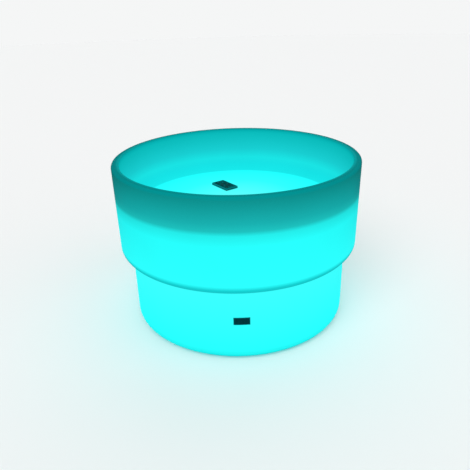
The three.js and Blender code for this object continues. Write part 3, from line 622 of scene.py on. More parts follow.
def shellCorners():
    s = shellSizes
    unitLow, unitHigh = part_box("light_unit_base")
    pocket, underside = unitHigh.x + s["pocketGap"], unitLow.z
    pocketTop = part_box("flange_seal")[1].z
    upperFoot = s["rimRadius"] - s["upperTaper"]
    lowerTop = upperFoot - s["stepWidth"]
    lowerBottom = lowerTop - s["lowerTaper"]
    footInner = lowerBottom - s["footWidth"]
    recessFloor = s["height"] - s["recessDepth"]
    rimInside = s["rimRadius"] - s["rimWidth"]
    return [
        (pocket - s["flangeWidth"], pocketTop, 0), (pocket, pocketTop, 0), (pocket, underside, 0),
        (footInner - s["footTaper"], underside, 0), (footInner, 0, s["footRound"]),
        (lowerBottom, 0, s["baseRound"]), (lowerTop, s["stepHeight"], s["stepInnerRound"]),
        (upperFoot, s["stepHeight"], s["stepOuterRound"]), (s["rimRadius"], s["height"], s["rimOuterRound"]),
        (rimInside, s["height"], s["rimInnerRound"]),
        (rimInside - s["recessTaper"], recessFloor, s["recessRound"]), (0, recessFloor, 0),
    ]


# The same corners moved into the wall, which lies to the left of the path
def insideCorners(corners, wall):
    points = [Vector(corner[:2]) for corner in corners]
    sides = [(after - before).normalized() for before, after in zip(points, points[1:])]
    moved = []
    for index, point in enumerate(points):
        before, after = sides[max(index - 1, 0)], sides[min(index, len(sides) - 1)]
        slant = Vector((-before.y - after.y, before.x + after.x))
        place = point + slant * (2 * wall / slant.length_squared)
        roundness = corners[index][2]
        if roundness:
            leftTurn = before.x * after.y > before.y * after.x
            roundness = max(roundness - wall, 0) if leftTurn else roundness + wall
        moved.append((place.x, place.y, roundness))
    return moved


def makeShell():
    s = shellSizes
    outside = shellCorners()
    # the path runs from under the recess floor, round the chamber and the hatch, up the outside
    path = insideCorners(outside, s["wall"])[-2::-1] + outside[:-1]
    shell = turnBody("tableShell", path, s["sides"], s["segments"])
    pocketTop = outside[0][1]
    bosses, holes = [], []
    for node, middle, angle in around("insert", 6):
        low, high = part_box(node)
        top = high.z + s["insertSpare"]
        bosses.append(cylinderTool(s["bossRadius"], pocketTop + s["wall"] / 2, top + s["bossCap"], middle))
        holes.append(cylinderTool((high.y - low.y) / 2 + s["insertSpare"], pocketTop - s["wall"], top,
                                  middle, s["holeSides"]))
    finishPiece(carve(unite(shell, *bosses), *holes), "glowPlastic", "shell")


# Name plate, bare, bent to the lower drum

plateSizes = {"sides": 720, "thickness": 0.0012, "edge": 0.0003, "edgeAngle": 30, "border": 0.0016,
              "sunk": 0.00025}


def makePlate():
    s = plateSizes
    low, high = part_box("name_plate")
    front = -low.y
    seat = front - s["thickness"]
    plate = turnRing("namePlate", [(seat, low.z, 0), (front, low.z, 0), (front, high.z, 0),
                                   (seat, high.z, 0)], s["sides"])
    editPiece(plate)
    for place, outward in (((high.x, 0, 0), (1, 0, 0)), ((low.x, 0, 0), (-1, 0, 0)), ((0, 0, 0), (0, 1, 0))):
        bpy.ops.mesh.select_all(action="SELECT")
        bpy.ops.mesh.bisect(plane_co=place, plane_no=outward, use_fill=True, clear_outer=True)
    pick("FACE", lambda face: face.normal.y < -squareOn)
    bpy.ops.mesh.inset(thickness=s["border"], depth=0, use_even_offset=True)
    bpy.ops.mesh.inset(thickness=s["sunk"], depth=-s["sunk"])
    closePiece()
    soften = plate.modifiers.new("soften", "BEVEL")
    soften.width = s["edge"]
    soften.segments = 2
    soften.limit_method = "ANGLE"
    soften.angle_limit = math.radians(s["edgeAngle"])
    bake(plate)
    finishPiece(plate, "plateFrame", "name_plate")
    inner = s["border"] + s["sunk"]
    paint(plate, "platePanel", lambda face: face.normal.y < -squareOn
          and abs(face.center.x) < high.x - inner and low.z + inner < face.center.z < high.z - inner)


# Card remote, made flat with its length along X and its tray at the +X end, then laid in the recess

remoteSizes = {
    "length": 0.085, "width": 0.047, "thickness": 0.007, "corner": 0.0022, "edge": 0.0008,
    "wall": 0.0014, "floor": 0.0009, "slip": 0.0001, "fit": 0.0003,
    "seam": 0.0036, "seamEdge": 0.00018,      # height of the parting line
    "post": 0.003, "postCorner": 0.0005, "boardUnder": 0.0049, "boardTop": 0.0057, "boardCorner": 0.001,
    "padRadius": 0.0019, "padRise": 0.00005, "roundSides": 32,
    "emitterRadius": 0.0015, "emitterLength": 0.006, "emitterEdge": 0.0001, "emitterAngle": 50,
    "emitterTipShares": [(1, 1), (0.87, 0.5), (0.5, 0.14), (0, 0)],      # of its radius
    "past": 0.001,      # how far a cutter passes what it cuts
}

labelSizes = {
    "inset": 0.003, "ledge": 0.0026, "drop": 0.0009, "thickness": 0.0005, "corner": 0.0014,
    "keyLength": 0.0074, "keyWidth": 0.0050, "keyRise": 0.00035, "keyCorner": 0.0013, "keyEdge": 0.00016,
}

# which finish each key has, from the end with the emitter, one word for each row
keyPlan = [
    ("keyPlain", "keyPale", "keyPale", "keyPale"), ("keyDeep", "keyPlain", "keyPale", "keyPlain"),
    ("keyPlain", "keyRed", "keyDeep", "keyPale"), ("keyDeep", "keyPale", "keyRed", "keyDeep"),
    ("keyPlain", "keyDeep", "keyDeep", "keyPlain"), ("keyPlain", "keyPale", "keyPale", "keyPale"),
]

traySizes = {
    "lip": 0.0012, "wall": 0.0026, "floor": 0.0005, "height": 0.003, "corner": 0.0008, "edge": 0.0003,
    "grips": 7, "gripPitch": 0.0016, "gripWidth": 0.0007, "gripDepth": 0.0003,
    "coinRadius": 0.010, "coinHeight": 0.0025, "coinStep": 0.0012, "coinEdge": 0.0001,
    "coinSides": 96, "stampShares": (0.96, 0.95), "stampDepth": 0.00012,
}


def layRemote(piece):
    low, high, middle = placed("remote_back_case")
    axis = joints["battery_tray_pull"]["axis"]
    return lay(piece, (middle.x, middle.y, low.z), (0, 0, math.atan2(axis[1], axis[0])))


def remoteSlab(name, inset, low, high, corner, **edges):
    r = remoteSizes
    return slab(name, r["length"] - 2 * inset, r["width"] - 2 * inset, low, high, corner, **edges)


def trayPlaces():
    r, t = remoteSizes, traySizes
    under = r["floor"] + r["fit"]
    middle = r["length"] / 2 - t["lip"] - t["coinRadius"] - r["fit"] - t["wall"] / 2
    return under, middle, t["coinRadius"] + r["fit"] + t["wall"]


def emitterHeight():
    r = remoteSizes
    return r["boardUnder"] - r["fit"] - r["emitterRadius"]


# The room inside a case half, with the tray's slot and the emitter's hole in its ends
def hollowCase(case, low, high, slotTop):
    r, t = remoteSizes, traySizes
    under, middle, halfWidth = trayPlaces()
    half = halfWidth + r["fit"]
    carve(case, remoteSlab("room", r["wall"], low, high, r["corner"] - r["wall"]))
    carve(case, boxTool((0, -half, r["floor"]),
                        (r["length"], half, min(slotTop, under + t["height"] + 2 * r["fit"]))))
    hole = cylinderTool(r["emitterRadius"] + r["fit"], 0, r["length"], sides=r["roundSides"])
    carve(case, lay(hole, (0, 0, emitterHeight()), (0, -quarter, 0)))


def makeRemoteCases():
    r, label = remoteSizes, labelSizes
    back = remoteSlab("remoteBackCase", 0, 0, r["seam"], r["corner"], topEdge=r["seamEdge"],
                      lowEdge=r["edge"])
    hollowCase(back, r["floor"], r["thickness"], r["thickness"])
    postX, postY = r["length"] / 4, r["width"] / 2 - r["wall"] - r["post"]
    posts = [lay(slab("post", r["post"], r["post"], r["floor"] / 2, r["boardUnder"] - r["slip"],
                      r["postCorner"]), (x, y)) for x in (-postX, postX) for y in (-postY, postY)]
    finishPiece(layRemote(unite(back, *posts)), "darkBackPaintedShade", "remote_back_case", "remote")

    front = remoteSlab("remoteFrontCase", 0, r["seam"] + r["slip"], r["thickness"], r["corner"],
                       topEdge=r["edge"], lowEdge=r["seamEdge"])
    hollowCase(front, 0, r["boardTop"] + r["slip"], r["boardUnder"])
    shelf = r["thickness"] - label["drop"]
    carve(front, remoteSlab("shelf", label["inset"], shelf, r["thickness"] + r["past"], label["corner"]))
    inside = label["inset"] + label["ledge"]
    carve(front, remoteSlab("window", inside, 0, r["thickness"], label["corner"] / 2))
    finishPiece(layRemote(front), "darkCase", "remote_front_case", "remote")


def keyPlaces():
    r, label = remoteSizes, labelSizes
    pitches = [(side - 2 * label["inset"] - label["ledge"]) / count
               for side, count in ((r["length"], len(keyPlan)), (r["width"], len(keyPlan[0])))]
    for column, keys in enumerate(keyPlan):
        for row, finish in enumerate(keys):
            yield finish, ((column - (len(keyPlan) - 1) / 2) * pitches[0],
                           (row - (len(keys) - 1) / 2) * pitches[1])


def makeKeypad():
    r, label = remoteSizes, labelSizes
    low = r["thickness"] - label["drop"] + r["slip"]
    top = low + label["thickness"]
    sheet = remoteSlab("remoteKeypad", label["inset"] + r["fit"], low, top, label["corner"] - r["fit"],
                       topEdge=label["keyEdge"])
    key = slab("key", label["keyLength"], label["keyWidth"], low + label["thickness"] / 2,
               top + label["keyRise"], label["keyCorner"], topEdge=label["keyEdge"])
    keys = [lay(finished(copyPiece(key, "key"), finish), place) for finish, place in keyPlaces()]
    bpy.data.objects.remove(key)
    unite(finished(sheet, "membranePrint"), *keys)
    finishPiece(layRemote(sheet), "membranePrint", "remote_keypad", "remote")


def makeRemoteBoard():
    r = remoteSizes
    board = remoteSlab("remoteBoard", r["wall"] + r["fit"], r["boardUnder"], r["boardTop"], r["boardCorner"])
    pads = [cylinderTool(r["padRadius"], r["boardTop"] - r["padRise"], r["boardTop"] + r["padRise"], place,
                         r["roundSides"]) for finish, place in keyPlaces()]
    unite(finished(board, "boardGreen"), finished(joinPieces(pads), "darkResin"))
    finishPiece(layRemote(board), "boardGreen", "remote_board", "remote")


def makeTray():
    r, t = remoteSizes, traySizes
    under, middle, halfWidth = trayPlaces()
    inner = middle - t["coinRadius"] - r["fit"] - t["wall"] / 2
    outer, top = r["length"] / 2, under + t["height"]
    tray = slab("remoteBatteryTray", outer - inner, 2 * halfWidth, under, top, t["corner"],
                topEdge=t["edge"], lowEdge=t["edge"])
    lay(tray, ((inner + outer) / 2, 0))
    carve(tray, cylinderTool(t["coinRadius"] + r["fit"], under + t["floor"], top + r["past"], (middle, 0),
                             t["coinSides"]))
    grooves = []
    for index in range(t["grips"]):
        y = (index - (t["grips"] - 1) / 2) * t["gripPitch"]
        grooves.append(boxTool((outer - t["gripDepth"], y - t["gripWidth"] / 2, under + 2 * t["edge"]),
                               (outer + r["past"], y + t["gripWidth"] / 2, top - 2 * t["edge"])))
    finishPiece(layRemote(carve(tray, *grooves)), "darkBackPaintedShade", "remote_battery_tray", "battery_tray")

    low, edge = under + t["floor"] + r["slip"], t["coinEdge"]
    ledge, top = low + t["coinHeight"] / 4, low + t["coinHeight"]
    rim = t["coinRadius"] - t["coinStep"]
    coin = turnBody("coinCell", [
        (rim, low, 3 * edge), (rim, ledge, edge), (t["coinRadius"], ledge, 2 * edge),
        (t["coinRadius"], top, 5 * edge), (rim * t["stampShares"][0], top, 0),
        (rim * t["stampShares"][1], top - t["stampDepth"], 0),
    ], t["coinSides"])
    finishPiece(layRemote(lay(coin, (middle, 0))), "screwSteel", "coin_cell", "battery_tray")


def makeEmitter():
    r = remoteSizes
    end, radius = r["length"] / 2, r["emitterRadius"]
    emitter = turnBody("remoteEmitter", [(radius, end - r["emitterLength"], r["emitterEdge"])] + [
        (radius * wide, end - radius * back, 0) for wide, back in r["emitterTipShares"]], r["roundSides"])
    layRemote(lay(emitter, (0, 0, emitterHeight()), (0, -quarter, 0)))
    finishPiece(emitter, "darkResin", "remote_ir_led", "remote", math.radians(r["emitterAngle"]))


# Light unit: the moulded base under the table, and all that is screwed or clipped to it

unitSizes = {
    "sides": 128, "fit": 0.0003, "past": 0.001, "flangeRound": 0.0014, "cupRound": 0.0016,
    "rimRound": 0.0006, "cupWall": 0.003, "boardGap": 0.0006, "sealWidth": 0.0044,
    "screwRadius": 0.002, "pilotRadius": 0.0012, "pilotDepth": 0.009, "postRadius": 0.004,
    "postInset": 0.008, "ribThickness": 0.0025, "holderThickness": 0.0023, "holderLedge": 0.0009,
    "barrelRadius": 0.0055, "stemRadius": 0.0015, "buttonRadius": 0.006, "statusRadius": 0.0015,
    "postSides": 40, "holeSides": 40, "pilotSides": 24,
}


def makeUnitBase():
    u = unitSizes
    low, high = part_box("light_unit_base")
    sealLow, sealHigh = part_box("flange_seal")
    boardLow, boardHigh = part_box("led_board")
    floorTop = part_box("battery_cradle")[0].z
    grooveOuter = sealHigh.x + u["fit"]
    grooveInner = sealHigh.x - u["sealWidth"] - u["fit"]
    cupInner = boardHigh.x + u["boardGap"]
    cupOuter = cupInner + u["cupWall"]
    base = turnBody("lightUnitBase", [
        (high.x, low.z, u["flangeRound"]), (high.x, sealHigh.z, u["rimRound"]), (grooveOuter, sealHigh.z, 0),
        (grooveOuter, sealLow.z, 0), (grooveInner, sealLow.z, 0), (grooveInner, sealHigh.z, 0),
        (cupOuter, sealHigh.z, u["cupRound"]), (cupOuter, high.z, u["rimRound"]),
        (cupInner, high.z, u["rimRound"]), (cupInner, floorTop, u["cupRound"]),
    ], u["sides"])

    inFloor = (low.z + floorTop) / 2
    posts, ribs, pilots = [], [], []
    for node, middle, angle in around("board_screw", 3):
        posts.append(cylinderTool(u["postRadius"], inFloor, boardLow.z, middle, u["postSides"]))
        rib = boxTool((0, -u["ribThickness"] / 2, inFloor),
                      (u["postInset"] + u["cupWall"] / 2, u["ribThickness"] / 2, boardLow.z - u["fit"]))
        ribs.append(lay(rib, middle.xy, (0, 0, angle)))
        pilots.append(cylinderTool(u["pilotRadius"] + u["fit"], boardHigh.z - u["pilotDepth"] - u["fit"],
                                   boardLow.z + u["past"], middle, u["pilotSides"]))
    switchLow, switchHigh, switch = placed("button_switch")
    near, thick = switchHigh.x + u["fit"], u["holderThickness"]
    holders = [boxTool((side * near, switchLow.y, inFloor), (side * (near + thick), switchHigh.y, switch.z))
               for side in (-1, 1)]
    ledges = [boxTool((side * (near - thick), switchLow.y, switchLow.z - u["holderLedge"]),
                      (side * (near + thick / 2), switchHigh.y, switchLow.z)) for side in (-1, 1)]
    for added in (posts, ribs, holders, ledges):
        unite(base, *added)

    anchorLow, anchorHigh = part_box("cap_anchor")
    socket = placed("dc_socket")[2]
    stem = (anchorHigh.x - (anchorHigh.y - anchorLow.y) / 2, socket.y)
    holes = [(u["screwRadius"], middle, sealHigh.z) for node, middle, angle in around("flange_screw", 6)]
    holes += [(u["barrelRadius"], socket, floorTop), (u["stemRadius"], stem, floorTop),
              (u["buttonRadius"], placed("power_button")[2], floorTop),
              (u["statusRadius"], placed("status_led")[2], floorTop)]
    carve(base, *[cylinderTool(radius + u["fit"], low.z - u["past"], top + u["past"], place, u["holeSides"])
                  for radius, place, top in holes])
    finishPiece(carve(base, *pilots), "whiteMoulding", "light_unit_base")


def makeSeal():
    low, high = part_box("flange_seal")
    inner, edge = high.x - unitSizes["sealWidth"], unitSizes["rimRound"]
    seal = turnRing("flangeSeal", [(inner, low.z, edge), (high.x, low.z, edge), (high.x, high.z, edge),
                                   (inner, high.z, edge)], unitSizes["sides"])
    finishPiece(seal, "blackRubber", "flange_seal")


# Screws with a cross in their pan head and a thread on their shank

screwSizes = {
    "flangeScrew": {"radius": 0.002, "headRadius": 0.004, "headHeight": 0.0024, "length": 0.014,
                    "threadFrom": 0.0055, "pitch": 0.0007, "root": 0.00028, "tip": 0.0008,
                    "crossReach": 0.0017, "crossWidth": 0.0008, "crossDepth": 0.0014, "sides": 32},
    "boardScrew": {"radius": 0.0012, "headRadius": 0.0028, "headHeight": 0.0018, "length": 0.009,
                   "threadFrom": 0.002, "pitch": 0.0006, "root": 0.00022, "tip": 0.0006,
                   "crossReach": 0.0011, "crossWidth": 0.0006, "crossDepth": 0.0009, "sides": 28},
}
panShares = [(0.45, 1), (0.75, 0.9), (0.94, 0.62), (1, 0.25), (1, 0)]      # of the head's radius and height
tipShare = 0.4


def makeScrew(name):
    s = screwSizes[name]
    corners = [(s["headRadius"] * wide, -s["headHeight"] * tall, 0) for wide, tall in panShares]
    corners += [(s["radius"], 0, 0), (s["radius"], s["threadFrom"], 0)]
    corners += ridges(s["radius"], s["root"], s["pitch"], s["threadFrom"], s["length"] - s["tip"])
    corners += [(s["radius"] - s["root"], s["length"] - s["tip"], 0),
                (s["radius"] * tipShare, s["length"], 0)]
    screw = turnBody(name, corners, s["sides"])
    for reach, width in ((s["crossReach"], s["crossWidth"] / 2), (s["crossWidth"] / 2, s["crossReach"])):
        carve(screw, boxTool((-reach, -width, -2 * s["headHeight"]),
                             (reach, width, s["crossDepth"] - s["headHeight"])))
    return screw


def makeScrews():
    underside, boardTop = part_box("light_unit_base")[0].z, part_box("led_board")[1].z
    placeCopies(makeScrew("flangeScrew"), "flangeScrew", "flange_screw", 6, "screwSteel", underside)
    placeCopies(makeScrew("boardScrew"), "boardScrew", "board_screw", 3, "screwSteel", boardTop, math.pi)


# What is reached from below: the socket, its cap, the cap's anchor, the button and the status light

socketSizes = {
    "sides": 64, "flangeRadius": 0.007, "barrelRadius": 0.0055, "boreRadius": 0.0032,
    "boreDepth": 0.010, "pinRadius": 0.001, "pinInset": 0.0008, "pinSides": 24, "flangeThickness": 0.002,
    "tabWidth": 0.003, "tabThickness": 0.001, "tabLength": 0.004, "edge": 0.0004,
    "pitch": 0.0012, "root": 0.00035,
}


def makeSocket():
    s = socketSizes
    low, high, middle = placed("dc_socket")
    barrel, root, edge, pin = s["barrelRadius"], s["root"], s["edge"], s["pinRadius"]
    seat = low.z + s["flangeThickness"]
    barrelTop = high.z - s["tabLength"]
    bottom = low.z + s["boreDepth"]
    socket = turnBody("chargingSocket", [
        (s["boreRadius"], bottom, 0), (s["boreRadius"], low.z, edge / 2), (s["flangeRadius"], low.z, edge),
        (s["flangeRadius"], seat, 0), (barrel, seat, 0), (barrel, seat + 2 * s["pitch"], 0),
        *ridges(barrel, root, s["pitch"], seat + 2 * s["pitch"], barrelTop - s["pitch"]),
        (barrel - root, barrelTop - edge, 0), (barrel - 2 * root, barrelTop, 0),
    ], s["sides"])
    lay(socket, middle.xy)
    added = [boxTool((middle.x - s["tabWidth"] / 2, middle.y + y - s["tabThickness"] / 2, barrelTop - edge),
                     (middle.x + s["tabWidth"] / 2, middle.y + y + s["tabThickness"] / 2, high.z))
             for y in (-barrel / 2, barrel / 2)]
    added.append(lay(turnBody("pin", [(pin / 2, low.z + s["pinInset"], 0),
                                      (pin, low.z + s["pinInset"] + pin / 2, 0), (pin, bottom + edge, 0)],
                              s["pinSides"]), middle.xy))
    finishPiece(unite(socket, *added), "darkResin", "dc_socket")
    paint(socket, "screwSteel", lambda face: face.center.z > barrelTop + tolerance
          or (face.center - middle).xy.length < pin + tolerance and face.center.z < bottom)


capSizes = {
    "sides": 72, "segments": 4, "radius": 0.0075, "thickness": 0.0025, "plugRadius": 0.0026,
    "plugHoleRadius": 0.0014, "fit": 0.0003, "edge": 0.0008, "break": 0.0001,
    "strapWidth": 0.005, "strapThickness": 0.0012, "strapReach": 0.0105, "strapCorner": 0.0002,
    "grips": 24, "gripRadius": 0.0003, "gripSides": 12, "headRadius": 0.0028, "stemRadius": 0.0015,
    "barbRadius": 0.0022, "barbHeight": 0.0014, "anchorReach": 0.005, "anchorSides": 40, "web": 0.00035,
    "brimShares": (0.6, 0.4),      # how far the brim slopes inwards and upwards, of the edge
    "strapRoom": 0.003,            # no grip is cut this near to the strap's middle
}


def strapSlab(length, middle, top):
    c = capSizes
    strap = slab("strap", length, c["strapWidth"], top - c["strapThickness"], top, c["strapCorner"],
                 lowEdge=2 * c["break"], topEdge=c["break"], segments=2)
    return lay(strap, (middle, 0))


def makeCap():
    c = capSizes
    low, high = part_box("socket_cap")
    middle = placed("dc_socket")[2]
    edge, thin = c["edge"], c["break"]
    inward, roundness = (edge * share for share in c["brimShares"])
    top = low.z + c["thickness"]
    under = top - c["strapThickness"]
    cap = turnBody("socketCap", [
        (c["radius"] - inward, low.z, roundness), (c["radius"], low.z + edge, 3 * thin),
        (c["radius"], top, 2 * thin), (c["plugRadius"], top, 0), (c["plugRadius"], high.z, 2 * thin),
        (c["plugHoleRadius"], high.z, thin), (c["plugHoleRadius"], top + c["fit"], 0),
    ], c["sides"], c["segments"])
    grips = []
    for index in range(c["grips"]):
        angle = 2 * math.pi * (index + 0.5) / c["grips"]
        place = (c["radius"] * math.cos(angle), c["radius"] * math.sin(angle))
        if abs(place[1]) >= c["strapRoom"] or place[0] <= 0:
            grips.append(cylinderTool(c["gripRadius"], low.z - edge, top - edge / 2, place, c["gripSides"]))
    carve(cap, *grips)
    unite(cap, strapSlab(c["strapReach"] - c["radius"] + c["strapThickness"],
                         (c["strapReach"] + c["radius"] - c["strapThickness"]) / 2, top))
    finishPiece(lay(cap, middle.xy), "blackRubber", "socket_cap", "socket_cap")

    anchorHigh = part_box("cap_anchor")[1]
    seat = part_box("light_unit_base")[0].z - c["fit"]
    barbLow = anchorHigh.z - c["barbHeight"]
    stud = turnBody("capAnchor", [
        (c["headRadius"], under, 3 * thin), (c["headRadius"], seat, 2 * thin), (c["stemRadius"], seat, 0),
        (c["stemRadius"], barbLow, 0), (c["barbRadius"], barbLow, thin),
        (c["stemRadius"], anchorHigh.z, 2 * thin),
    ], c["anchorSides"])
    length = c["anchorReach"] - c["fit"]
    web = boxTool((-c["anchorReach"], -c["strapWidth"] / 2, under),
                  (c["fit"] * 2 - c["anchorReach"], c["strapWidth"] / 2, under + c["web"]))
    unite(stud, unite(strapSlab(length, -length / 2, top), web))
    finishPiece(lay(stud, (anchorHigh.x - c["headRadius"], middle.y)), "blackRubber", "cap_anchor")


buttonSizes = {
    "sides": 72, "radius": 0.006, "dish": 0.0006, "collarRadius": 0.0075, "collar": 0.0016,
    "dishStep": 0.001, "dishShares": (0.55, 0.3),      # the dish's two steps inwards, and their depths
    "stemRadius": 0.0025, "break": 0.0001, "ringWidth": 0.0005, "ringRise": 0.00025,
    "statusRadius": 0.0015, "statusFlange": 0.002, "statusFlangeHeight": 0.001, "statusSides": 40,
    "statusAngle": 45, "lensShares": [(0.35, 0), (0.72, 0.16), (0.94, 0.4), (1, 0.7)],      # of its radius
}


def makeButton():
    b = buttonSizes
    low, high, middle = placed("power_button")
    thin = b["break"]
    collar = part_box("battery_cradle")[0].z + unitSizes["fit"]
    collarTop = collar + b["collar"]
    button = turnBody("powerButton", [
        (b["radius"] - b["dish"], low.z, 2 * thin), (b["radius"], low.z + b["dish"], 2 * thin),
        (b["radius"], collar, 0), (b["collarRadius"], collar, 3 * thin),
        (b["collarRadius"], collarTop, 3 * thin), (b["stemRadius"], collarTop, 0),
        (b["stemRadius"], high.z, 4 * thin),
    ], b["sides"])
    editPiece(button)
    pick("FACE", lambda face: len(face.verts) == b["sides"]
         and abs(face.calc_center_median().z - low.z) < tolerance)
    ring, rise = b["ringWidth"], b["ringRise"]
    steps = [(b["dishStep"], -b["dish"] * share) for share in b["dishShares"]]
    for inset, depth in (*steps, (ring / 4, rise), (ring, 0), (ring / 4, -rise)):
        bpy.ops.mesh.inset(thickness=inset, depth=depth)
    closePiece()
    finishPiece(lay(button, middle.xy), "blackRubber", "power_button", "power_button")

    low, high, middle = placed("status_led")
    radius, flange, flangeTop = b["statusRadius"], b["statusFlange"], collar + b["statusFlangeHeight"]
    status = turnBody("statusLight", [
        *[(radius * wide, low.z + radius * tall, 0) for wide, tall in b["lensShares"]],
        (radius, collar, 0), (flange, collar, thin), (flange, flangeTop, thin), (radius, flangeTop, 0),
        (radius, high.z, 2 * thin),
    ], b["statusSides"])
    finishPiece(lay(status, middle.xy), "ledResin", "status_led", angle=math.radians(b["statusAngle"]))


# Opal dome over the leds

domeSizes = {"wall": 0.002, "edge": 0.0004, "steps": 18}


def makeDome():
    d, u = domeSizes, unitSizes
    low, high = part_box("diffuser_dome")
    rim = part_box("light_unit_base")[1].z
    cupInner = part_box("led_board")[1].x + u["boardGap"]
    cupOuter = cupInner + u["cupWall"]
    rise = high.z - rim
    ball = (cupOuter ** 2 + rise ** 2) / (2 * rise)
    spigotOuter = cupInner - u["fit"]
    spigotInner = spigotOuter - d["wall"]

    def arc(radius, reach):
        angles = [reach * step / d["steps"] for step in range(d["steps"] + 1)]
        return [(radius * math.sin(angle), high.z - ball + radius * math.cos(angle), 0) for angle in angles]

    under = arc(ball - d["wall"], math.asin(spigotInner / (ball - d["wall"])))
    over = arc(ball, math.asin(cupOuter / ball))
    skirt = [(spigotInner, low.z, d["edge"]), (spigotOuter, low.z, d["edge"]), (spigotOuter, rim, 0)]
    finishPiece(turnBody("diffuserDome", under[1:] + skirt + over[::-1], u["sides"]), "opalPlastic",
                "diffuser_dome")


# Inner pieces that are met when the light unit comes out: threads are ridged, edges are broken

def threadTool(s, low, high):
    start, end = low - s["past"], high + s["past"] + s["pitch"]
    thread = ridges(s["bore"], -s["ridge"], s["pitch"], start, end)
    return turnBody("thread", [(s["bore"], start, 0), *thread], s["threadSides"])


insertSizes = {"bore": 0.00205, "ridge": 0.0002, "pitch": 0.0007, "threadSides": 32, "past": 0.001,
               "grooveDepth": 0.0006, "grooveRound": 0.0002, "edge": 0.00025}


def makeInserts():
    s = insertSizes
    low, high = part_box("insert_1")
    radius, third, turn = (high.y - low.y) / 2, (high.z - low.z) / 3, s["grooveRound"]
    waist = radius - s["grooveDepth"]
    model = turnBody("insert", [
        (radius, low.z, s["edge"]), (radius, low.z + third, turn), (waist, low.z + third, turn),
        (waist, high.z - third, turn), (radius, high.z - third, turn), (radius, high.z, s["edge"]),
    ], 6, segments=2)
    carve(model, threadTool(s, low.z, high.z))
    placeCopies(model, "brassInsert", "insert", 6, "turnedBrass")


nutSizes = {"bore": 0.0056, "ridge": 0.0002, "pitch": 0.0012, "threadSides": 64, "past": 0.001,
            "chamfer": 0.0009, "coneSides": 72}


def makeNut():
    s = nutSizes
    low, high, middle = placed("socket_nut")
    corner = (high.x - low.x) / 2
    flat, half = corner * math.cos(math.pi / 6), s["chamfer"] / 2
    nut = turnBody("socketNut", [(corner, low.z, 0), (corner, high.z, 0)], 6)
    lay(nut, (0, 0), (0, 0, math.pi / 6))
    cone = turnBody("cone", [(flat, low.z, 0), (corner, low.z + half, 0), (corner, high.z - half, 0),
                             (flat, high.z, 0)], s["coneSides"])
    carve(carve(nut, cone, operation="INTERSECT"), threadTool(s, low.z, high.z))
    finishPiece(lay(nut, middle.xy), "screwSteel", "socket_nut")


# Battery: four wrapped cells in a cradle, with a retainer over them

cellSizes = {"sides": 72, "terminal": 0.003, "terminalFoot": 0.00345, "tipRound": 0.0004,
             "wrapLip": 0.0018, "edge": 0.0005, "sunk": 0.0004, "crimpDrop": 0.003, "crimpWidth": 0.0014,
             "crimpDepth": 0.0003}


def makeCells():
    s = cellSizes
    low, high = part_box("battery_cell_1")
    radius, end, tip = (high.z - low.z) / 2, high.y, -low.y
    lip, crimp, cap = radius - s["wrapLip"], end - s["crimpDrop"], end - s["sunk"]
    model = turnBody("cell", [
        (lip, -cap, 0), (lip, -end, s["sunk"] / 4), (radius, -end, s["edge"]),
        (radius, crimp - s["crimpWidth"], 0),
        (radius - s["crimpDepth"], crimp - s["crimpWidth"] / 2, s["crimpDepth"]),
        (radius, crimp, 0), (radius, end, s["edge"]), (lip, end, s["sunk"] / 4), (lip, cap, 0),
        (s["terminalFoot"], cap, 0), (s["terminal"], tip, s["tipRound"]),
    ], s["sides"], segments=4)
    for index, (node, middle, angle) in enumerate(around("battery_cell", 4)):
        facing = 1 if index % 2 else -1         # which way the terminal points along Y
        cell = lay(copyPiece(model, f"batteryCell{index + 1}"), (middle.x, 0, middle.z),
                   (quarter, 0, 0 if facing < 0 else math.pi))
        finishPiece(cell, "cellWrap", node)

        def reach(face):
            return math.hypot(face.center.x - middle.x, face.center.z - middle.z)

        paint(cell, "boardWhite", lambda face: reach(face) < lip and face.center.y * facing > cap - tolerance)
        paint(cell, "screwSteel", lambda face: face.center.y * facing > cap + tolerance
              and reach(face) < s["terminalFoot"] or face.center.y * facing < tolerance - cap
              and reach(face) < lip - tolerance and abs(face.normal.y) > squareOn)
    bpy.data.objects.remove(model)


cradleSizes = {"wall": 0.0022, "fit": 0.0003, "corner": 0.0012, "edge": 0.0005, "boreSides": 96}


def makeCradle():
    s = cradleSizes
    low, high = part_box("battery_cradle")
    cradle = slab("batteryCradle", high.x - low.x, high.y - low.y, low.z, high.z, s["corner"],
                  topEdge=s["edge"], lowEdge=s["edge"])
    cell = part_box("battery_cell_1")
    radius = (cell[1].z - cell[0].z) / 2 + s["fit"]
    carve(cradle, *[lay(cylinderTool(radius, low.y + s["wall"], high.y - s["wall"], sides=s["boreSides"]),
                        (middle.x, 0, middle.z), (quarter, 0, 0))
                    for node, middle, angle in around("battery_cell", 4)])
    finishPiece(cradle, "whiteMoulding", "battery_cradle")


retainerSizes = {"thickness": 0.0024, "fit": 0.0003, "corner": 0.001, "edge": 0.0004, "pegRadius": 0.002,
                 "pegInset": 0.004, "pegSides": 40, "ribHeight": 0.0016, "ribWidth": 0.0016,
                 "ribPlace": 0.006, "ribReach": 0.6}


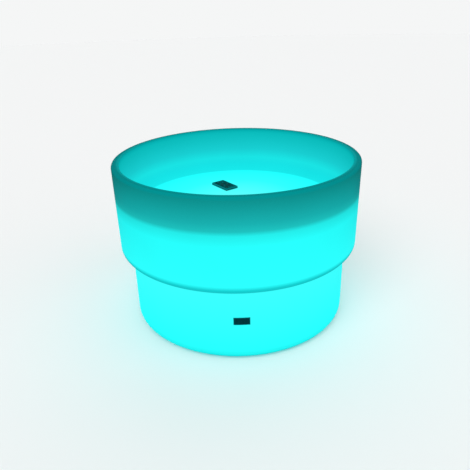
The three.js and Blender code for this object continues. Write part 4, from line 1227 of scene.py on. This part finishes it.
def makeRetainer():
    s = retainerSizes
    low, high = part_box("cell_retainer")
    length, width, edge = high.x - low.x, high.y - low.y, s["edge"]
    pegX = -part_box("control_board")[0].x - s["pegInset"]
    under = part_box("battery_cell_1")[1].z + s["fit"]
    top = under + s["thickness"]
    bridge = slab("cellRetainer", length, width, under, top, s["corner"], topEdge=edge)
    added = []
    for side in (-1, 1):
        leg = slab("leg", s["thickness"], width - 2 * s["corner"], low.z, under + edge, edge,
                   lowEdge=edge / 2, segments=3)
        added.append(lay(leg, (side * (high.x - s["thickness"] / 2), 0)))
        rib = slab("rib", length * s["ribReach"], s["ribWidth"], top - edge, top + s["ribHeight"], edge,
                   topEdge=edge / 2, segments=3)
        added.append(lay(rib, (0, side * s["ribPlace"])))
        for y in (low.y + s["pegInset"], high.y - s["pegInset"]):
            peg = turnBody("peg", [(s["pegRadius"], top - edge, 0), (s["pegRadius"], high.z, edge / 2)],
                           s["pegSides"])
            added.append(lay(peg, (side * pegX, y)))
    finishPiece(unite(bridge, *added), "whiteMoulding", "cell_retainer")


# Boards, with their parts seated on them

partSizes = {
    "board": 0.0016, "sink": 0.0001, "corner": 0.0012, "edge": 0.0002,
    "boardLength": 0.066, "boardWidth": 0.040,
    "plugLength": 0.008, "plugDepth": 0.005, "plugHeight": 0.0042, "latch": 0.0006,
    "chip": 0.0096, "chipX": -0.012, "chipHeight": 0.002, "dotSides": 24, "pins": 8, "pinPitch": 0.00105,
    "pinWidth": 0.0005, "pinReach": 0.006, "pinHeight": 0.0005, "roundSides": 48,
    "coilRadius": 0.005, "coilHeight": 0.005, "coilFlange": 0.0009, "wireRadius": 0.0043, "wire": 0.00045,
    "canRadius": 0.0029, "canHeight": 0.0046, "canPlace": (0.0125, 0.0125),
    "resistor": (0.002, 0.00125, 0.00055),
}
grooveShares = (0.22, 0.26, 0.3)      # where the can's groove lies, of its height
ventShares = (0.8, 0.78)              # its sunk top, of its radius

# places of the small parts on the control board, and whether each lies along Y
resistorPlaces = [
    (-0.0225, 0.009, 0), (-0.0225, 0.0055, 0), (-0.0225, -0.006, 0), (-0.001, 0.0075, 1), (0.0025, 0.0075, 1),
    (-0.001, -0.0075, 1), (0.0025, -0.0075, 1), (0.022, 0.009, 0), (0.022, 0.0125, 0), (-0.012, 0.0125, 0),
]


def makeResistor(low):
    length, width, height = partSizes["resistor"]
    edge = partSizes["edge"]
    body = finished(slab("part", length, width, low, low + height, edge / 2, topEdge=edge / 2, segments=2),
                    "darkResin")
    paint(body, "screwSteel", lambda face: abs(face.center.x) > length / 2 - edge)
    return body


def makePlug(seat, top, place):
    s = partSizes
    edge, high = s["edge"], top + s["plugHeight"]
    plug = slab("plug", s["plugLength"], s["plugDepth"], seat, high, 2 * edge, topEdge=edge, segments=3)
    latch = slab("latch", s["plugLength"] / 3, s["plugDepth"] / 2, high - edge, high + s["latch"], edge,
                 topEdge=edge / 2, segments=2)
    return lay(finished(unite(plug, latch), "whiteMoulding"), place)


def makeChip(seat, top):
    s = partSizes
    size, edge, high = s["chip"], s["edge"], top + s["chipHeight"]
    chip = slab("chip", size, size, seat, high, 2 * edge, topEdge=edge, segments=3)
    carve(chip, cylinderTool(s["pinWidth"], high - edge, high + s["chipHeight"], (-size / 3, size / 3),
                             s["dotSides"]))
    pins = []
    for turn in range(4):
        for index in range(s["pins"]):
            along = (index - (s["pins"] - 1) / 2) * s["pinPitch"]
            pin = boxTool((size / 2 - edge, along - s["pinWidth"] / 2, seat),
                          (s["pinReach"], along + s["pinWidth"] / 2, top + s["pinHeight"]))
            pins.append(lay(pin, (0, 0), (0, 0, turn * quarter)))
    unite(finished(chip, "darkResin"), finished(joinPieces(pins), "screwSteel"))
    return lay(chip, (s["chipX"], 0))


def makeCoil(seat, top):
    s = partSizes
    outer, wire = s["coilRadius"], s["wireRadius"]
    low, high = top + s["coilFlange"], top + s["coilHeight"] - s["coilFlange"]
    coil = turnBody("coil", [(outer, seat, 0), (outer, low, 0), (wire, low, 0),
                             *ridges(wire, s["wire"] / 2, s["wire"], low, high), (outer, high, 0),
                             (outer, top + s["coilHeight"], s["edge"])], s["roundSides"], segments=2)
    paint(finished(coil, "darkResin"), "turnedBrass", lambda face: abs(face.normal.z) < squareOn
          and face.center.xy.length < wire + s["edge"] and low < face.center.z < high)
    return lay(coil, (-s["chipX"], 0))


def makeCan(seat, top):
    s = partSizes
    radius, high, edge = s["canRadius"], top + s["canHeight"], s["edge"]
    groove = [(radius - inward, top + s["canHeight"] * share, edge)
              for inward, share in zip((0, edge, 0), grooveShares)]
    can = turnBody("can", [(radius, seat, 0), *groove, (radius, high, 2 * edge),
                           (radius * ventShares[0], high, 0), (radius * ventShares[1], high - edge, 0)],
                   s["roundSides"], segments=3)
    return lay(finished(can, "screwSteel"), s["canPlace"])


def makeControlBoard():
    s = partSizes
    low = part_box("control_board")[0].z
    top = low + s["board"]
    seat = top - s["sink"]
    board = finished(slab("controlBoard", s["boardLength"], s["boardWidth"], low, top, s["corner"],
                          topEdge=s["edge"] / 2, lowEdge=s["edge"] / 2), "boardGreen")
    side, cellX = (s["boardWidth"] - s["plugDepth"]) / 2, placed("battery_cell_1")[2].x
    parts = [makePlug(seat, top, place)
             for place in ((0, -side), (0, side), (cellX, -side), (-cellX - s["plugLength"] / 2, 0))]
    parts += [makeChip(seat, top), makeCoil(seat, top), makeCan(seat, top)]
    parts += [lay(makeResistor(seat), (x, y), (0, 0, along * quarter)) for x, y, along in resistorPlaces]
    finishPiece(unite(board, *parts), "boardGreen", "control_board")


ledSizes = {"dish": 0.0019, "dishDepth": 0.0005, "dishShare": 0.9, "dishSides": 40, "edge": 0.0002,
            "cut": 0.0007, "padHeight": 0.0004, "padReach": 0.00015, "resistorRing": 0.036, "holeSides": 32}


def makeLedBoard():
    s = ledSizes
    low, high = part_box("led_board")
    board = turnBody("ledBoard", [(high.x, low.z, s["edge"]), (high.x, high.z, s["edge"])],
                     unitSizes["sides"], segments=2)
    hole = screwSizes["boardScrew"]["radius"] + unitSizes["fit"]
    carve(board, *[cylinderTool(hole, low.z - s["dish"], high.z + s["dish"], middle, s["holeSides"])
                   for node, middle, angle in around("board_screw", 3)])
    parts = [lay(makeResistor(high.z - partSizes["sink"]), middle.xy.normalized() * s["resistorRing"],
                 (0, 0, angle)) for node, middle, angle in around("led", 12)]
    finishPiece(unite(finished(board, "boardWhite"), *parts), "boardWhite", "led_board")


def makeLeds():
    s = ledSizes
    low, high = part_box("led_1")
    size, edge = high.y - low.y, s["edge"]
    floor = high.z - s["dishDepth"]
    model = slab("led", size - 2 * s["padReach"], size, low.z, high.z, edge, topEdge=edge, segments=2)
    carve(model, turnBody("dish", [(s["dish"] * s["dishShare"], floor, 0), (s["dish"], high.z + edge, 0)],
                          s["dishSides"]))
    corner = boxTool((0, -s["cut"], floor), (s["cut"], s["cut"], high.z + edge))
    half = (size - s["cut"]) / 2
    carve(model, lay(corner, (half - s["padReach"], half), (0, 0, quarter / 2)))
    pads = [boxTool((side * size / 2, -size / 3, low.z), (side * size / 3, size / 3, low.z + s["padHeight"]))
            for side in (-1, 1)]
    unite(finished(model, "boardWhite"), finished(joinPieces(pads), "screwSteel"))
    paint(model, "ledResin", lambda face: abs(face.center.z - floor) < tolerance
          and face.center.xy.length < s["dish"] and face.normal.z > squareOn)
    placeCopies(model, "lightLed", "led", 12, "ledResin")


receiverSizes = {"lens": 0.002, "lensSides": 40, "corner": 0.0004, "edge": 0.0003, "legWidth": 0.0006,
                 "legHeight": 0.0012}


def makeReceiver():
    s = receiverSizes
    low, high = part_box("ir_receiver")
    top, half, edge = high.z - s["lens"], s["legWidth"] / 2, s["edge"]
    body = slab("infraredReceiver", high.x - low.x, high.y - low.y, low.z, top, s["corner"], topEdge=edge,
                segments=4)
    unite(body, settle(addShape(bpy.ops.mesh.primitive_uv_sphere_add, "lens", (0, 0, top), radius=s["lens"],
                                segments=s["lensSides"], ring_count=s["lensSides"] // 2)))
    legTop = low.z + s["legHeight"]
    carve(body, *[boxTool((x - half, low.y - edge, low.z - edge), (x + half, low.y + edge, legTop))
                  for x in (low.x / 2, 0, high.x / 2)])
    finishPiece(body, "darkResin", "ir_receiver")


switchSizes = {"corner": 0.0008, "edge": 0.0004, "lid": 0.0026, "seam": 0.0003, "well": 0.0028,
               "wellSides": 56, "stroke": 0.002, "clipWidth": 0.003, "clipDepth": 0.0004}


def makeSwitch():
    s = switchSizes
    low, high, middle = placed("button_switch")
    length, width, clip = high.x - low.x, high.y - low.y, s["clipWidth"]
    seam = high.z - s["lid"]
    body = slab("buttonSwitch", length, width, low.z, seam, s["corner"], topEdge=s["edge"] / 2,
                lowEdge=s["edge"])
    unite(body, slab("lid", length - 2 * s["seam"], width - 2 * s["seam"], seam - s["edge"], high.z,
                     s["corner"], topEdge=s["edge"]))
    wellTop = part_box("power_button")[1].z + s["stroke"] + s["seam"]
    carve(body, cylinderTool(s["well"], low.z - s["lid"], wellTop, sides=s["wellSides"]))
    carve(body, *[boxTool((-clip / 2, side * (width / 2 - s["clipDepth"]), seam - clip),
                          (clip / 2, side * width, seam - clip / 2)) for side in (-1, 1)])
    finishPiece(lay(body, middle.xy), "darkResin", "button_switch")


# Leads: the solid's own route, rounded to a smooth cable

leadSizes = {"weld": 0.00001, "levels": 2, "smoothAngle": 60}


def makeLeads():
    s = leadSizes
    for kind in ("socket", "switch", "battery", "led"):
        lead = copyPiece(frame["nodes"][kind + "_lead"], kind + "Lead")
        lead.parent = None
        editPiece(finished(lead, "blackRubber"))
        bpy.ops.mesh.remove_doubles(threshold=s["weld"])
        bpy.ops.mesh.tris_convert_to_quads()
        bpy.ops.object.mode_set(mode="OBJECT")
        rounding = lead.modifiers.new("rounding", "SUBSURF")
        rounding.levels = rounding.render_levels = s["levels"]
        bake(lead)
        finishPiece(lead, "blackRubber", kind + "_lead", angle=math.radians(s["smoothAngle"]))


bpy.context.scene.view_settings.view_transform = "Standard"
stages = {
    "camera and stage": (addCamera, addStage),
    "shell": (makeShell,),
    "plate": (makePlate,),
    "remote": (makeRemoteCases, makeKeypad, makeTray, makeEmitter, makeRemoteBoard),
    "light unit": (makeUnitBase, makeSeal, makeScrews, makeSocket, makeCap, makeButton, makeDome, makeInserts,
                   makeNut),
    "battery": (makeCells, makeCradle, makeRetainer),
    "boards and leads": (makeControlBoard, makeLedBoard, makeLeds, makeReceiver, makeSwitch, makeLeads),
}
for stage, steps in stages.items():
    for step in steps:
        step()
    print(stage, "ready")
